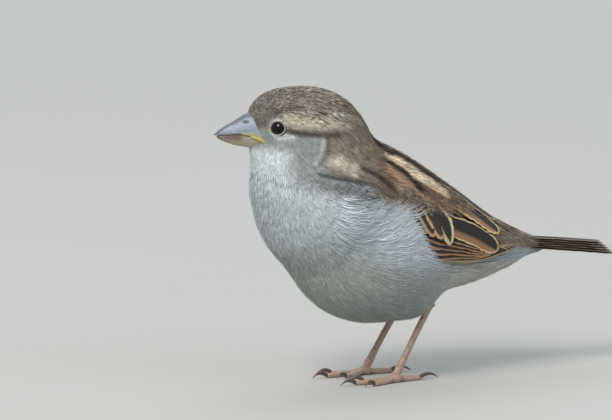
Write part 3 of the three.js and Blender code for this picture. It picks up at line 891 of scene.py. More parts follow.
print("measures of a feather:", ", ".join(look_at((np.array([0.2]), np.array([0.5])))))


# %% The coat, zone by zone
LARGEST_PIECE = 190_000  # triangles
BARE_EYE = (0.25, 1.95)  # mm: how far ahead of the eye's middle the bare ring's middle is, and its radius
FACE = {"half width": 4.6, "lowest": -6.5, "highest": 3.4}  # where FACE_EDGE holds


def bald(points):
    """Places without soft feathers: bill, eyes and what the folded wing hides."""
    forward, left, up = to_head(points)
    at_eye = np.hypot(forward - EYE_PLACE[0] - BARE_EYE[0], up - EYE_PLACE[1]) < BARE_EYE[1]
    at_bill = (forward > line(FACE_EDGE, up)) & (np.abs(left) < FACE["half width"])
    at_bill = at_bill & (up < FACE["highest"]) & (up > FACE["lowest"])
    return (at_eye & (np.abs(left) > 5)) | at_bill | under_wing(points)


where = MAP["point"]
length_at, degrees_at = to_wing(where)
density = np.where(bald(where), 0, 1 / feather_spacing(where) ** 2)
on_face = above_neck(where) > -3
in_front = where[..., 0] < -12
ZONES = {  # where, and how many locks a feather has
    "plumage_head": (on_face, 7),
    "plumage_breast": (~on_face & in_front, 11),
    "plumage_belly": (~on_face & ~in_front & (degrees_at > 90), 11),
    "plumage_back": (~on_face & ~in_front & (degrees_at <= 90), 9),
}
plumage = soft_plumage("soft body feathers", 0.86, 1.12)
for number, (name, (zone, locks)) in enumerate(ZONES.items()):
    u, v = scatter(np.where(zone, density, 0), 0.5 + number * 0.1)
    pieces = math.ceil(len(u) * locks * len(LOCK_FACES) / LARGEST_PIECE)
    for part in range(pieces):
        roots = u[part::pieces], v[part::pieces]
        make_tufts(f"{name}_{part + 1}", roots, locks, look_at(roots), plumage, seed=10 * number + part)

# %% [markdown]
# ## Flank plumes
# The longest, loosest feathers of a sparrow hang along the flank. When the bird fluffs up they sweep
# back and up over the lower edge of the wing in thin pale strands. They are the same tufts, made
# longer and finer, curving upwards and standing a little off the body.

# %% Flank plumes
flank_zone = (length_at > -9) & (length_at < 12) & (degrees_at > 94) & (degrees_at < 122)
flank_roots = scatter(np.where(flank_zone, 0.34, 0), 0.77)
flank_look = look_at(flank_roots)
# flank plumes keep half the darkening towards the base, dusky base and painted shade
for key, factor in {"half width": 1.35, "lock": 0.85, "fluff": 3.5, "turn": 1.45, "dusky_base_and_shade": 0.5}.items():
    flank_look[key] = flank_look[key] * factor
for key, value in {"length": 13.5, "lock tone": 0.2}.items():
    flank_look[key] = np.full_like(flank_look[key], value)
flank_look["rise"] = flank_look["rise"] + 1.3
flank_look["unruly"] = 0.13
pale_plumes = soft_plumage("pale flank plumes", 1.0, 1.3)
make_tufts("plumage_flank", flank_roots, 12, flank_look, pale_plumes, seed=70)

# %% [markdown]
# ## Vaned feathers
# Wing and tail feathers have a stiff shaft and two flat webs of hooked barbs. Each is a grid of points
# along a bent centre line, wide in the middle and rounded at the tip. How far each point is from the
# edge and from the shaft is stored on the mesh, so one finish can draw the pale fringe, the shaft and
# the fine barb lines of every feather. Barbs are a third of a millimetre apart in life; they are drawn
# slightly coarser, so that they still show.

# %% Vane finish
BARB_PITCH = 0.5  # mm between drawn barb lines
BARB_SLANT = math.radians(32)


def vane_finish(name):
    """Smooth keratin webs with a soft sheen, a ragged fringe along the edge and slanting barb lines."""
    material, tree, shader = new_material(name, Roughness=0.5, IOR=1.54, Specular_IOR_Level=0.3)
    stored = {
        key: add_node(tree, "ShaderNodeAttribute", attribute_name=key).outputs
        for key in ("web", "rim", "edge", "shaft", "barb")
    }
    where = add_node(tree, "ShaderNodeTexCoord").outputs["Object"]
    ragged = add_node(tree, "ShaderNodeTexNoise", {"Vector": where, "Scale": 900.0, "Detail": 2.0})
    wobble = add_node(tree, "ShaderNodeMath", [ragged.outputs["Fac"], 0.36, -0.18], operation="MULTIPLY_ADD")
    inset = add_node(tree, "ShaderNodeMath", [stored["edge"]["Fac"], wobble.outputs[0]], operation="ADD")
    fringe = add_node(tree, "ShaderNodeMapRange", [inset.outputs[0], -0.22, 0.3, 1.0, 0.0])
    web_and_rim = {"Factor": fringe.outputs[0], 6: stored["web"]["Color"], 7: stored["rim"]["Color"]}
    two_tone = add_node(tree, "ShaderNodeMix", web_and_rim, data_type="RGBA")
    barb_turns = [stored["barb"]["Fac"], 2 * math.pi / BARB_PITCH]
    turns = add_node(tree, "ShaderNodeMath", barb_turns, operation="MULTIPLY")
    wave = add_node(tree, "ShaderNodeMath", [turns.outputs[0]], operation="SINE")
    barbs = add_node(tree, "ShaderNodeMapRange", [wave.outputs[0], -1.0, 1.0, 0.87, 1.08])
    dark_shaft = add_node(tree, "ShaderNodeMapRange", [stored["shaft"]["Fac"], 0.08, 0.28, 0.55, 1.0])
    shade = add_node(tree, "ShaderNodeMath", [barbs.outputs[0], dark_shaft.outputs[0]], operation="MULTIPLY")
    factors = [two_tone.outputs[2], shade.outputs[0]]
    shaded = add_node(tree, "ShaderNodeVectorMath", factors, operation="MULTIPLY")
    tree.links.new(shaded.outputs["Vector"], shader.inputs["Base Color"])
    roughen(tree, shader, wave.outputs[0], 0.25, 0.0002)
    return material


vane_material = vane_finish("webs of flight feathers")
print(vane_material.name, "has", len(vane_material.node_tree.nodes), "nodes")

# %% Vane mesh
STATIONS = 26
COLUMNS = np.array([-1.0, -0.9, -0.7, -0.4, -0.1, 0.0, 0.1, 0.4, 0.7, 0.9, 1.0])
SHAFT_COLUMN = 5
ALONG_VANE = 1 - (1 - np.linspace(0, 1, STATIONS)[:, None]) ** 1.7  # closer together towards the tip


def vane_half_width(feather):
    """Half width in mm at each station: narrow at the base, widest in the middle, rounded at the tip."""
    base = blend(feather["base"], 1.0, ramp(ALONG_VANE, 0, 0.45))
    past = np.clip((ALONG_VANE - 1 + feather["tip"]) / feather["tip"], 0, 1)
    return base * (1 - past ** feather["blunt"]) ** (1 / feather["blunt"]) * feather["half"]


def vane(feather, place, rng):
    """Points and stored values of one vane. place(feather, along, across) gives its points."""
    share = np.where(COLUMNS > 0, feather["lower"], feather["upper"])
    half = vane_half_width(feather) * share
    across = half * COLUMNS
    at_edge = (np.abs(COLUMNS) > 0.8) * (ALONG_VANE > 0.3)
    notch = 1 - 0.10 * np.abs(rng.normal(0, 1, (STATIONS, 1))) * at_edge
    points = place(feather, ALONG_VANE + 0 * across, across * notch)
    shaft = points[:, SHAFT_COLUMN]
    steps = np.linalg.norm(np.diff(shaft, axis=0, prepend=shaft[:1]), axis=-1)
    run = np.cumsum(steps)[:, None]
    to_edge = np.minimum(half * (1 - np.abs(COLUMNS)), run[-1] - run)
    tone = rng.normal(1, 0.06)
    barb_tone = np.where(np.arange(STATIONS) % 2, 1.04, 0.96)[:, None, None]
    lower_side = ramp(COLUMNS, -0.05, 0.45)[None, :, None]
    web, rim = (
        blend(linear(feather[key]), linear(feather[f"lower {key}"]), lower_side) * np.full(points.shape, tone)
        for key in ("web", "rim")
    )
    return {
        "points": points,
        "web": web * barb_tone,
        "rim": rim,
        "edge": to_edge - feather["rim width"] * ramp(ALONG_VANE, 0.05, 0.3),
        "shaft": np.abs(across),
        "barb": run * math.cos(BARB_SLANT) - np.abs(across) * math.sin(BARB_SLANT) * 1.4,
        "bake": np.stack(np.broadcast_arrays(0.5 + 0.45 * COLUMNS, 0.05 + 0.9 * ALONG_VANE), axis=-1),
    }


def make_vanes(name, feathers, place, material):
    """One mesh of vanes. On the map named OFBake each has a cell of its own."""
    rng = np.random.default_rng(len(feathers))
    cells = math.ceil(math.sqrt(len(feathers)))
    vanes = [vane(feather, place, rng) for feather in feathers]
    for number, one in enumerate(vanes):
        one["bake"] = (one["bake"] + [number % cells, number // cells]) / cells
    size = STATIONS * len(COLUMNS)
    grids = {key: np.concatenate([one[key].reshape(size, -1) for one in vanes]) for key in vanes[0]}
    starts = np.arange(len(feathers))[:, None, None] * size
    faces = (starts + grid_faces(STATIONS, len(COLUMNS))).reshape(-1, 4)
    colours = {key: np.clip(grids[key], 0, 1) for key in ("web", "rim")}
    numbers = {key: grids[key] for key in ("edge", "shaft", "barb")}
    print(f"{name}: {len(feathers)} vanes, {len(faces)} quads")
    points, bake = grids["points"], grids["bake"]
    return new_piece(name, points, faces, material, colours, numbers, bake)


print("points in a vane:", STATIONS * len(COLUMNS))

# %% [markdown]
# ## The folded wing
# A folded wing is a pack of cards: primaries at the bottom, then secondaries, then the three broad
# tertials on top, and rows of coverts over their bases. Every group below is a row of feathers between
# a first and a last one. A feather's centre line runs through three or four places on the wing, each
# given as mm along the wing's axis, degrees round the body and mm over its form; what lies over what
# follows from the last number. Dark webs with rufous or buff fringes make the wing's pattern.

# %% Groups of wing feathers
# shares of the half width over and under the shaft and at the base, share of the length that narrows
# towards the tip, and how square the tip is
VANE = {"count": 1, "upper": 1.0, "lower": 0.45, "base": 0.6, "tip": 0.35, "blunt": 2.0}
TERTIAL = {**VANE, "lower": 0.72, "tip": 0.42, "blunt": 2.2}
WING_GROUPS = {
    "primaries": {
        **VANE,
        "count": 7,
        "first": [(28, 126, -2.3), (42, 134, -2.3), (55, 122, -2.1), (66.0, 90, -1.8)],
        "last": [(28, 120, -1.4), (40, 126, -1.3), (50, 121, -1.1), (58.5, 110, -0.9)],
        "half": (2.6, 2.8),
        "web": "1d1917",
        "rim": "ab9878",
        "rim width": (0.28, 0.28),
        "blunt": 1.6,
    },
    "secondaries": {
        **VANE,
        "count": 5,
        "first": [(24, 118, -1.25), (34, 122, -1.2), (44, 121, -1.1), (54.5, 113, -1.0)],
        "last": [(20, 100, -0.85), (32, 105, -0.75), (44, 107, -0.65), (54.8, 110, -0.6)],
        "half": (3.4, 3.8),
        "web": "1c1714",
        "rim": "b0855f",
        "rim width": (0.34, 0.34),
        "tip": 0.2,
    },
    "tertials": {
        **TERTIAL,
        "count": 2,
        "first": [(24, 90, -0.55), (34, 96, -0.4), (45, 101, -0.35), (54.0, 111, -0.3)],
        "last": [(23, 63, -1.0), (32.5, 65.5, -0.15), (42.5, 70.5, -0.05), (53.3, 87.5, 0.0)],
        "half": (4.0, 4.3),
        "web": "1d1815",
        "lower web": "94704f",
        "rim": "cdb384",
        "rim width": (0.5, 0.55),
    },
    "innermost tertial": {
        **TERTIAL,
        "first": [(22, 36, -1.4), (31, 35, 0.05), (40, 40, 0.15), (52.5, 64, 0.15)],
        "half": (4.6, 4.6),
        "web": "221c19",
        "lower web": "16120f",
        "rim": "a49d97",
        "lower rim": "b79f7c",
        "rim width": (0.6, 0.6),
    },
    "greater coverts": {
        **VANE,
        "count": 8,
        "first": [(0, 82, -1.6), (6, 93, -1.45), (11, 102, -1.4)],
        "last": [(23, 82, -0.2), (27.5, 92, 0.0), (32.5, 108, 0.15)],
        "half": (2.5, 2.9),
        "web": "332a24",
        "rim": "ae9069",
        "rim width": (0.7, 0.9),
        "upper": 0.9,
        "lower": 0.9,
        "blunt": 2.4,
    },
    "innermost covert": {
        **VANE,
        "first": [(25, 84, -0.1), (31, 94, 0.1), (35.8, 113.5, 0.25)],
        "half": (3.5, 3.5),
        "web": "26201c",
        "rim": "d0bd94",
        "rim width": (1.05, 1.05),
        "upper": 0.95,
        "lower": 0.8,
        "base": 0.9,
        "tip": 0.6,
        "blunt": 1.8,
    },
    "median coverts": {
        **VANE,
        "count": 8,
        "first": [(-2, 76, -0.9), (2.5, 84, -0.3), (6.5, 93, -0.1)],
        "last": [(18, 74, 0.0), (22, 81, 0.1), (25.5, 90, 0.2)],
        "half": (2.2, 2.4),
        "web": "4a3e35",
        "rim": "8d7965",
        "rim width": (0.5, 0.5),
        "upper": 0.9,
        "lower": 0.9,
        "tip": 0.6,
    },
}
print("feathers in a wing:", sum(group["count"] for group in WING_GROUPS.values()))

# %% Wings
DEGREE_WIDTHS = [(0, 0.33), (20, 0.32), (40, 0.26), (55, 0.20), (66, 0.14)]  # mm along the wing, mm a degree


def row_of(group):
    """The feathers of one group, from its first to its last. A group of one has no last."""
    group = {"lower web": group["web"], "lower rim": group["rim"], "last": group["first"], **group}
    first, last = (np.array(group[key], dtype=float) for key in ("first", "last"))
    feathers = []
    for share in np.linspace(0, 1, group["count"]):
        measures = {key: blend(*group[key], share) for key in ("half", "rim width")}
        feathers.append({**group, **measures, "path": blend(first, last, share)})
    return feathers


def place_on_wing(side):
    def place(feather, along, across):
        length, degrees, height = np.moveaxis(curve(feather["path"], along), -1, 0)
        mm_per_degree = line(DEGREE_WIDTHS, length)
        slope_length = np.gradient(length[:, 0])[:, None]
        slope_degrees = np.gradient(degrees[:, 0])[:, None] * mm_per_degree
        size = np.hypot(slope_length, slope_degrees)
        length = length - across * slope_degrees / size
        degrees = degrees + across * slope_length / size / mm_per_degree
        return wing_point(side, length, degrees, height - 0.03 * np.abs(across))[0]

    return place


wing_feathers = [feather for group in WING_GROUPS.values() for feather in row_of(group)]
for side_name, side in SIDES.items():
    wing = make_vanes(f"vanes_wing_{side_name}", wing_feathers, place_on_wing(side), vane_material)
    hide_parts(f"wing_{side_name}")

# %% [markdown]
# ## The tail
# Twelve feathers, square-ended and nearly parallel when the tail is closed. The middle pair lies on
# top and each next one a little lower, so from the side the outer edges show as fine pale lines.

# %% Tail feathers
TAIL_COUNT = 12
TAIL_LENGTH = 33.3  # mm beyond the body
TAIL_SPREAD = (0.35, 0.9)  # mm from one feather to the next, at the base and at the tip
TAIL_STEP = 0.5  # mm by which each lies below the last
TAIL_DROOP = math.radians(6.5)
TAIL_ROOT = np.array([36.0, 0.0, 37.9])
TAIL_BACK = np.array([math.cos(TAIL_DROOP), 0, -math.sin(TAIL_DROOP)])
TAIL_UP = np.array([math.sin(TAIL_DROOP), 0, math.cos(TAIL_DROOP)])
TAIL_FEATHER = {
    **VANE,
    "half": 3.5,
    "upper": 0.8,
    "lower": 1.0,
    "base": 0.5,
    "tip": 0.2,
    "web": "463c34",
    "lower web": "39312a",
    "rim": "968267",
    "lower rim": "968267",
    "rim width": 0.4,
}


def place_on_tail(feather, along, across):
    outward = feather["place"]
    side = outward * blend(*TAIL_SPREAD, along) + across * feather["hand"]
    lift = -0.09 * np.abs(side) - TAIL_STEP * abs(outward) + 0.25 * np.sin(along * 3)
    length = TAIL_LENGTH + 0.5 * abs(outward)
    points = TAIL_ROOT + TAIL_BACK * (length * along)[..., None] + TAIL_UP * lift[..., None]
    return points - LEFT * side[..., None]


tail_places = np.arange(TAIL_COUNT) - (TAIL_COUNT - 1) / 2
tail_feathers = [{**TAIL_FEATHER, "place": place, "hand": np.sign(place)} for place in tail_places]
tail = make_vanes("vanes_tail", tail_feathers, place_on_tail, vane_material)
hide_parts("tail")

# %% [markdown]
# ## The bill
# Two horn cones that meet in a gently waved line, deep and short for cracking seed. The upper one is
# grey horn with a darker ridge, the lower one paler, and at the corner of the mouth a soft yellow
# flange remains from the nest. Each mandible is a shell of rings from inside the face to the tip, so
# that its profile and width can be read off as lines of (forward, mm) pairs.

# %% Bill shape
BILL_TIP, LOWER_TIP, GAPE = 16.2, 15.3, 2.4  # mm forward of the eye axis
CULMEN = [(0, 4.6), (6.85, 3.1), (10.45, 0.95), (13.55, -0.75), (15.4, -2.05), (16.2, -2.85)]
TOMIUM = [(0, -4.9), (2.4, -4.6), (5, -3.2), (9.6, -2.5), (16.2, -3.0)]
GONYS = [(0, -7.4), (4.4, -6.9), (10.4, -5.7), (13.5, -4.6), (15.6, -3.5)]
BILL_HALF_WIDTH = [(0, 5.9), (2.4, 5.9), (4.9, 4.8), (7.5, 3.7), (10.4, 2.6), (13.5, 1.5)]
BILL_HALF_WIDTH += [(15.5, 0.75), (16.2, 0.4)]
BILL_RINGS, BILL_COLUMNS = 56, 96
NOSTRIL_PIT = (7.4, 1.1, 0.8, 0.5)  # middle forward and up, half length and half height
NOSTRIL_MARK = (7.4, 1.0, 0.95, 0.42)


def smooth_line(pairs, x):
    """Like line, but rounded where pairs meet."""
    offsets = np.array([-0.9, -0.45, 0, 0.45, 0.9])
    weights = np.array([1, 2, 3, 2, 1]) / 9
    return (line(pairs, np.asarray(x)[..., None] + offsets) * weights).sum(axis=-1)


def from_spot(forward, up, spot):
    """Distance from the middle of an oval spot: 1 on its rim."""
    return np.hypot((forward - spot[0]) / spot[2], (up - spot[1]) / spot[3])


def mandible_grid(side, ridge, tip, width_share):
    """Rings of one mandible, with what its colours need. side is 1 above, -1 below."""
    v = np.linspace(0, 1, BILL_RINGS)[:, None]
    angle = angles_round(BILL_COLUMNS)[None]
    forward = tip * v**0.85 + 0 * angle
    ends = np.sqrt(np.maximum(0, 1 - v**18))  # closes the tip
    edge = smooth_line(TOMIUM, forward) + side * 0.06
    crest = smooth_line(ridge, forward)
    rise = np.maximum(0, np.cos(angle)) ** 0.9
    width = smooth_line(BILL_HALF_WIDTH, forward) * width_share * (1 - 0.2 * rise)
    left = width * np.sign(np.sin(angle)) * np.abs(np.sin(angle)) ** 0.85
    up = blend((edge + crest) / 2, edge + (crest - edge) * rise, ends)
    pit = np.exp(-(from_spot(forward, up, NOSTRIL_PIT) ** 2)) * (side > 0)
    rings = head_point(forward, left * (1 - 0.12 * pit) * ends, up)
    return rings, forward, up, np.abs((up - edge) / (crest - edge))


print("bill length from the gape:", round(BILL_TIP - GAPE, 1), "mm")

# %% Bill finish
HORN = {
    name: linear(hex_colour)
    for name, hex_colour in {
        "upper": "747f8e",
        "ridge": "4d4a50",
        "tip": "3d393d",
        "yellow": "a3975c",
        "lower": "a09583",
        "stain": "5a3a41",
        "nostril": "2a2627",
    }.items()
}


def horn_material():
    """Smooth horn, faintly streaked along its length, with a soft gloss."""
    material, tree, shader = new_material("bill horn", Roughness=0.42, IOR=1.54, Specular_IOR_Level=0.4)
    where = add_node(tree, "ShaderNodeTexCoord").outputs["Object"]
    stretch = add_node(tree, "ShaderNodeMapping", {"Vector": where, "Scale": (0.5, 0.8, 2.0)})
    settings = {"Vector": stretch.outputs["Vector"], "Scale": 1100.0, "Detail": 4.0}
    grain = add_node(tree, "ShaderNodeTexNoise", settings)
    shade_stored(tree, shader, "horn", grain.outputs["Fac"], (0.3, 0.7), (0.82, 1.15))
    roughen(tree, shader, grain.outputs["Fac"], 0.12, 0.0002)
    return material


def make_mandible(name, side, ridge, tip, width_share, material):
    rings, forward, up, rise = mandible_grid(side, ridge, tip, width_share)
    if side > 0:
        layers = [
            ("ridge", 0.7 * ramp(rise, 0.7, 1.0)),
            ("nostril", ramp(from_spot(forward, up, NOSTRIL_MARK), 1.15, 0.7)),
            ("yellow", 0.8 * ramp(rise, 0.2, 0.08) * ramp(forward, 10.5, 8.0)),
        ]
        stain_depth = 0.16
    else:
        layers = [("yellow", 0.8 * ramp(forward, 7.4, 4.0))]
        stain_depth = 0.75
    stain = ramp(np.abs(forward - 11.0), 3.4, 1.4) * ramp(rise, stain_depth, stain_depth * 0.4)
    layers += [("stain", 0.7 * stain), ("tip", 0.75 * ramp(forward, 12.0, 15.5))]
    colours = np.broadcast_to(HORN["upper" if side > 0 else "lower"], rings.shape)
    for layer, mask in layers:
        colours = blend(colours, HORN[layer], mask[..., None])
    piece = new_shell(f"horn_{name}", rings, material, {"horn": colours})
    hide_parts(name)


horn = horn_material()
make_mandible("bill_upper", 1, CULMEN, BILL_TIP, 1.0, horn)
make_mandible("bill_lower", -1, GONYS, LOWER_TIP, 0.92, horn)
print("quads in a mandible:", (BILL_RINGS - 1) * BILL_COLUMNS)


# %% Gape flange
def tube(places, radii, rings, around, flat=1.0, relief=None):
    """A round limb through places. radii are (share of the length, radius) pairs, relief adds mm."""
    t = np.linspace(0, 1, rings)
    middle = curve(places, t)
    along = unit(np.gradient(middle, axis=0))
    side = unit(np.cross(along, np.broadcast_to([0.0, 0.0, 1.0], along.shape)))
    over = np.cross(side, along)
    angle = angles_round(around)
    radius = line(radii, t)[:, None] + (0 if relief is None else relief(t[:, None], angle))
    radius = radius * np.sqrt(np.maximum(0, 1 - (2 * t - 1) ** 20))[:, None]
    return (
        middle[:, None]
        + side[:, None] * (radius * np.cos(angle) * flat)[..., None]
        + over[:, None] * (radius * np.sin(angle))[..., None]
    )


GAPE_PATH = [(6.6, 4.0, -2.95), (5.0, 4.9, -3.3), (3.6, 5.5, -4.0), (2.3, 5.9, -4.8)]
GAPE_RADII = [(0, 0.12), (0.4, 0.42), (0.8, 0.42), (1, 0.1)]
GAPE_COLUMNS = 14
for side_name, side in SIDES.items():
    places = [head_point(forward, side * left, up) for forward, left, up in GAPE_PATH]
    rings = tube(places, GAPE_RADII, 20, GAPE_COLUMNS)
    mouth_line = 0.55 * ramp(np.abs(np.arange(GAPE_COLUMNS) - GAPE_COLUMNS / 2), 1.6, 0.4)
    flange = blend(np.broadcast_to(HORN["yellow"] * 1.15, rings.shape), HORN["nostril"], mouth_line[:, None])
    new_shell(f"gape_{side_name}", rings, horn, {"horn": flange})
print("gape flange:", round(2 * max(radius for _, radius in GAPE_RADII), 2), "mm thick")

# %% [markdown]
# ## The eyes
# A sparrow's eye is a dark brown, nearly black ball, most of it hidden behind the lids. The ball here
# sits where the solid one does. A ring of skin forms the two lids, a little longer than high, and the
# wet cornea is a smooth, clear coat that gives the eye its one bright reflection.

# %% Eye finishes
def eye_material():
    """Deep brown iris seen through a clear wet cornea."""
    material, tree, shader = new_material(
        "wet cornea over a dark iris",
        Roughness=0.04,
        IOR=1.376,
        Coat_Weight=0.1,
        Coat_Roughness=0.03,
        Specular_IOR_Level=0.3,
    )
    where = add_node(tree, "ShaderNodeAttribute", attribute_name="off axis")
    tone = add_node(tree, "ShaderNodeValToRGB", [where.outputs["Fac"]])
    for stop, (place, hex_colour) in zip(tone.color_ramp.elements, [(0.5, "050404"), (0.68, "241710")]):
        stop.position = place
        stop.color = (*linear(hex_colour), 1)
    tree.links.new(tone.outputs["Color"], shader.inputs["Base Color"])
    return material


def skin_of_lid():
    """Thin soft skin, finely wrinkled."""
    material, tree, shader = new_material("eyelid skin", Roughness=0.6, IOR=1.45, Specular_IOR_Level=0.3)
    colour = add_node(tree, "ShaderNodeAttribute", attribute_name="lid")
    tree.links.new(colour.outputs["Color"], shader.inputs["Base Color"])
    where = add_node(tree, "ShaderNodeTexCoord").outputs["Object"]
    wrinkle = add_node(tree, "ShaderNodeTexNoise", {"Vector": where, "Scale": 2500.0, "Detail": 3.0})
    roughen(tree, shader, wrinkle.outputs["Fac"], 0.3, 0.0001)
    return material


ball_finish, lid_finish = eye_material(), skin_of_lid()
print("eye finishes:", ball_finish.name, "and", lid_finish.name)

# %% Eyes and lids
EYE_RADIUS = 2.6
EYE_SUNK = 1.75
BALL_EDGE = 0.62 * math.pi  # how far round from the pupil the ball is drawn
EYE_COLUMNS = 64
LID_HALF = (1.88, 1.62)  # mm from the middle to the corner, and to the upper or lower rim
LID_OUTER = 2.5  # mm from the middle to where the lids end under the feathers
LID_BEAD = 0.45  # share of the lids' width that is the swollen rim


def eye_frame(side):
    """Middle of the eyeball and three directions: outward, forward and up along the face."""
    start = head_point(EYE_PLACE[0], 0, EYE_PLACE[1])[None]
    outward = (np.array([0, side, 0]) @ HEAD_AXES)[None]
    surface = start + outward * reach(start, outward, BODY)[:, None]
    normal = form_normal(surface, BODY)[0]
    forward = unit(HEAD_AXES[0] - normal * dot(HEAD_AXES[0], normal))
    up = np.cross(normal, forward)
    return surface[0] - normal * EYE_SUNK, normal, forward, up * np.sign(up[2])


def make_eye(name, middle, normal, side_on, material):
    """The ball, from the pupil to past its widest ring."""
    polar = np.linspace(0.001, BALL_EDGE, 40)[:, None]
    ball = middle + EYE_RADIUS * (np.cos(polar)[..., None] * normal + np.sin(polar)[..., None] * side_on)
    off_axis = np.broadcast_to(np.sin(polar), ball.shape[:2])
    eye = new_shell(f"ball_{name}", ball, material, numbers={"off axis": off_axis})
    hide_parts(name)


def make_lids(name, middle, normal, side_on, material):
    """A ring of skin from the opening, over the ball, to under the feathers."""
    angle = angles_round(EYE_COLUMNS)[None]
    share = np.linspace(0, 1, 14)[:, None]
    opening = 1 / np.hypot(np.cos(angle) / LID_HALF[0], np.sin(angle) / LID_HALF[1])
    radius = blend(opening, LID_OUTER, share)
    on_ball = np.sqrt(EYE_RADIUS**2 - np.minimum(radius, EYE_RADIUS - 0.2) ** 2)
    bead = 0.2 * np.sin(np.minimum(share / LID_BEAD, 1) * math.pi) * (share < LID_BEAD)
    height = on_ball + 0.08 + bead - ramp(share, LID_BEAD, 1.0)
    rings = middle + radius[..., None] * side_on + height[..., None] * normal
    rim = ramp(share, 0.08, 0.2) * ramp(share, 0.8, LID_BEAD) * (0.55 + 0.45 * np.abs(np.sin(angle)))
    pale = 0.25 + 0.75 * ramp(-np.cos(angle) - np.sin(angle), -0.6, 0.8)  # brightest behind and below
    colours = blend(linear("2b2826"), linear("b5b8b5"), (rim * pale)[..., None])
    new_shell(f"lids_{name}", rings, material, {"lid": colours})


for side_name, side in SIDES.items():
    middle, normal, forward, up = eye_frame(side)
    angle = angles_round(EYE_COLUMNS)[None, :, None]
    side_on = np.cos(angle) * forward + np.sin(angle) * up
    make_eye(f"eye_{side_name}", middle, normal, side_on, ball_finish)
    make_lids(f"eye_{side_name}", middle, normal, side_on, lid_finish)
print("eye opening", 2 * LID_HALF[0], "by", 2 * LID_HALF[1], "mm")

# %% [markdown]
# ## Legs, feet and claws
# The bare part of a songbird's leg is the foot bone, cased in horny plates down the front and small
# scales behind. Three toes point forward and one back, each ringed with scutes above and padded below,
# flat where it bears on the ground, with a curved claw. Limbs are tubes whose radius carries the plates,
# and the same rule darkens the grooves between them.

# %% Leg measures and finishes
ANKLE, FOOT = np.array([9.5, 7.4, 19.5]), np.array([-1.5, 8.4, 2.2])
TOE_HEIGHT = 0.6
TOES = {  # heading in degrees out from straight ahead, the rest in mm
    "hind": {"heading": 176, "length": 8.0, "radius": 0.95, "claw": 6.2},
    "inner": {"heading": 24, "length": 9.0, "radius": 0.85, "claw": 4.4},
    "middle": {"heading": 2, "length": 12.5, "radius": 0.9, "claw": 4.8},
    "outer": {"heading": -22, "length": 9.6, "radius": 0.82, "claw": 4.2},
}
PLATE, GROOVE = linear("a58c7c"), linear("6a5448")
SHANK_PLATES = 11


def leg_skin():
    """Thin pinkish brown skin under horny scales, with a dull shine."""
    material, tree, shader = new_material("scaly leg skin", Roughness=0.5, IOR=1.5, Specular_IOR_Level=0.4)
    where = add_node(tree, "ShaderNodeTexCoord").outputs["Object"]
    scales = add_node(tree, "ShaderNodeTexVoronoi", {"Vector": where, "Scale": 2400.0})
    shade_stored(tree, shader, "scale", scales.outputs["Distance"], (0.1, 0.7), (1.1, 0.8))
    roughen(tree, shader, scales.outputs["Distance"], 0.25, 0.0002)
    return material


def claw_horn():
    """Dark brown horn, paler and slightly see-through looking at the tip."""
    material, tree, shader = new_material("claw horn", Roughness=0.35, IOR=1.54, Specular_IOR_Level=0.5)
    where = add_node(tree, "ShaderNodeTexCoord").outputs["Object"]
    grain = add_node(tree, "ShaderNodeTexNoise", {"Vector": where, "Scale": 1800.0, "Detail": 3.0})
    shade_stored(tree, shader, "horn", grain.outputs["Fac"], (0.3, 0.7), (0.8, 1.2))
    return material


leg_finish, claw_finish = leg_skin(), claw_horn()
print("leg finishes:", leg_finish.name, "and", claw_finish.name)


# %% Plates
def plates(count, depth):
    """Overlapping plates on the upper or front side, as a relief for a tube."""

    def relief(t, angle):
        return depth * (1 - (t * count) % 1) * ramp(np.sin(angle), -0.2, 0.5)

    return relief


def plate_colours(shape, count):
    """Dark grooves between plates, and a slightly darker underside."""
    t = np.linspace(0, 1, shape[0])[:, None]
    upper = np.sin(angles_round(shape[1]))
    groove = ramp((t * count) % 1, 0.72, 0.95) * ramp(upper, -0.2, 0.5)
    return blend(PLATE, GROOVE, (0.55 * groove + 0.15 * ramp(upper, 0, -1))[..., None])


print("plates down the leg:", SHANK_PLATES)


# %% Legs
def toe_place(side, heading, distance, rise):
    """A point a distance out along a toe, and some way over the toes' own height."""
    h = math.radians(heading)
    outward = np.array([-math.cos(h), side * math.sin(h), 0]) * distance
    return FOOT * [1, -side, 0] + outward + [0, 0, TOE_HEIGHT + rise]


def pad_grid():
    """A ball of radius 1 in 18 rings of 24, to be pressed to the shape of the foot's pad."""
    polar, angle = np.meshgrid(np.linspace(0.02, 3.12, 18), angles_round(24), indexing="ij")
    return np.stack([np.sin(polar) * np.cos(angle), np.sin(polar) * np.sin(angle), np.cos(polar)], axis=-1)


def toe_tube(side, toe):
    """Rings of one toe and their colours."""
    length, radius = toe["length"], toe["radius"]
    course = [(-0.8, 0.9), (length * 0.3, 0.25), (length * 0.65, 0), (length + 0.2, 0)]
    places = [toe_place(side, toe["heading"], distance, rise) for distance, rise in course]
    swelling = [(0, 1.1), (0.35, 0.9), (0.6, 1.02), (0.8, 0.82), (1, 0.8)]
    radii = [(share, radius * factor) for share, factor in swelling]
    scutes = round(length * 1.1)
    rings = tube(places, radii, 66, 20, relief=plates(scutes, 0.09))
    return rings, plate_colours(rings.shape, scutes)


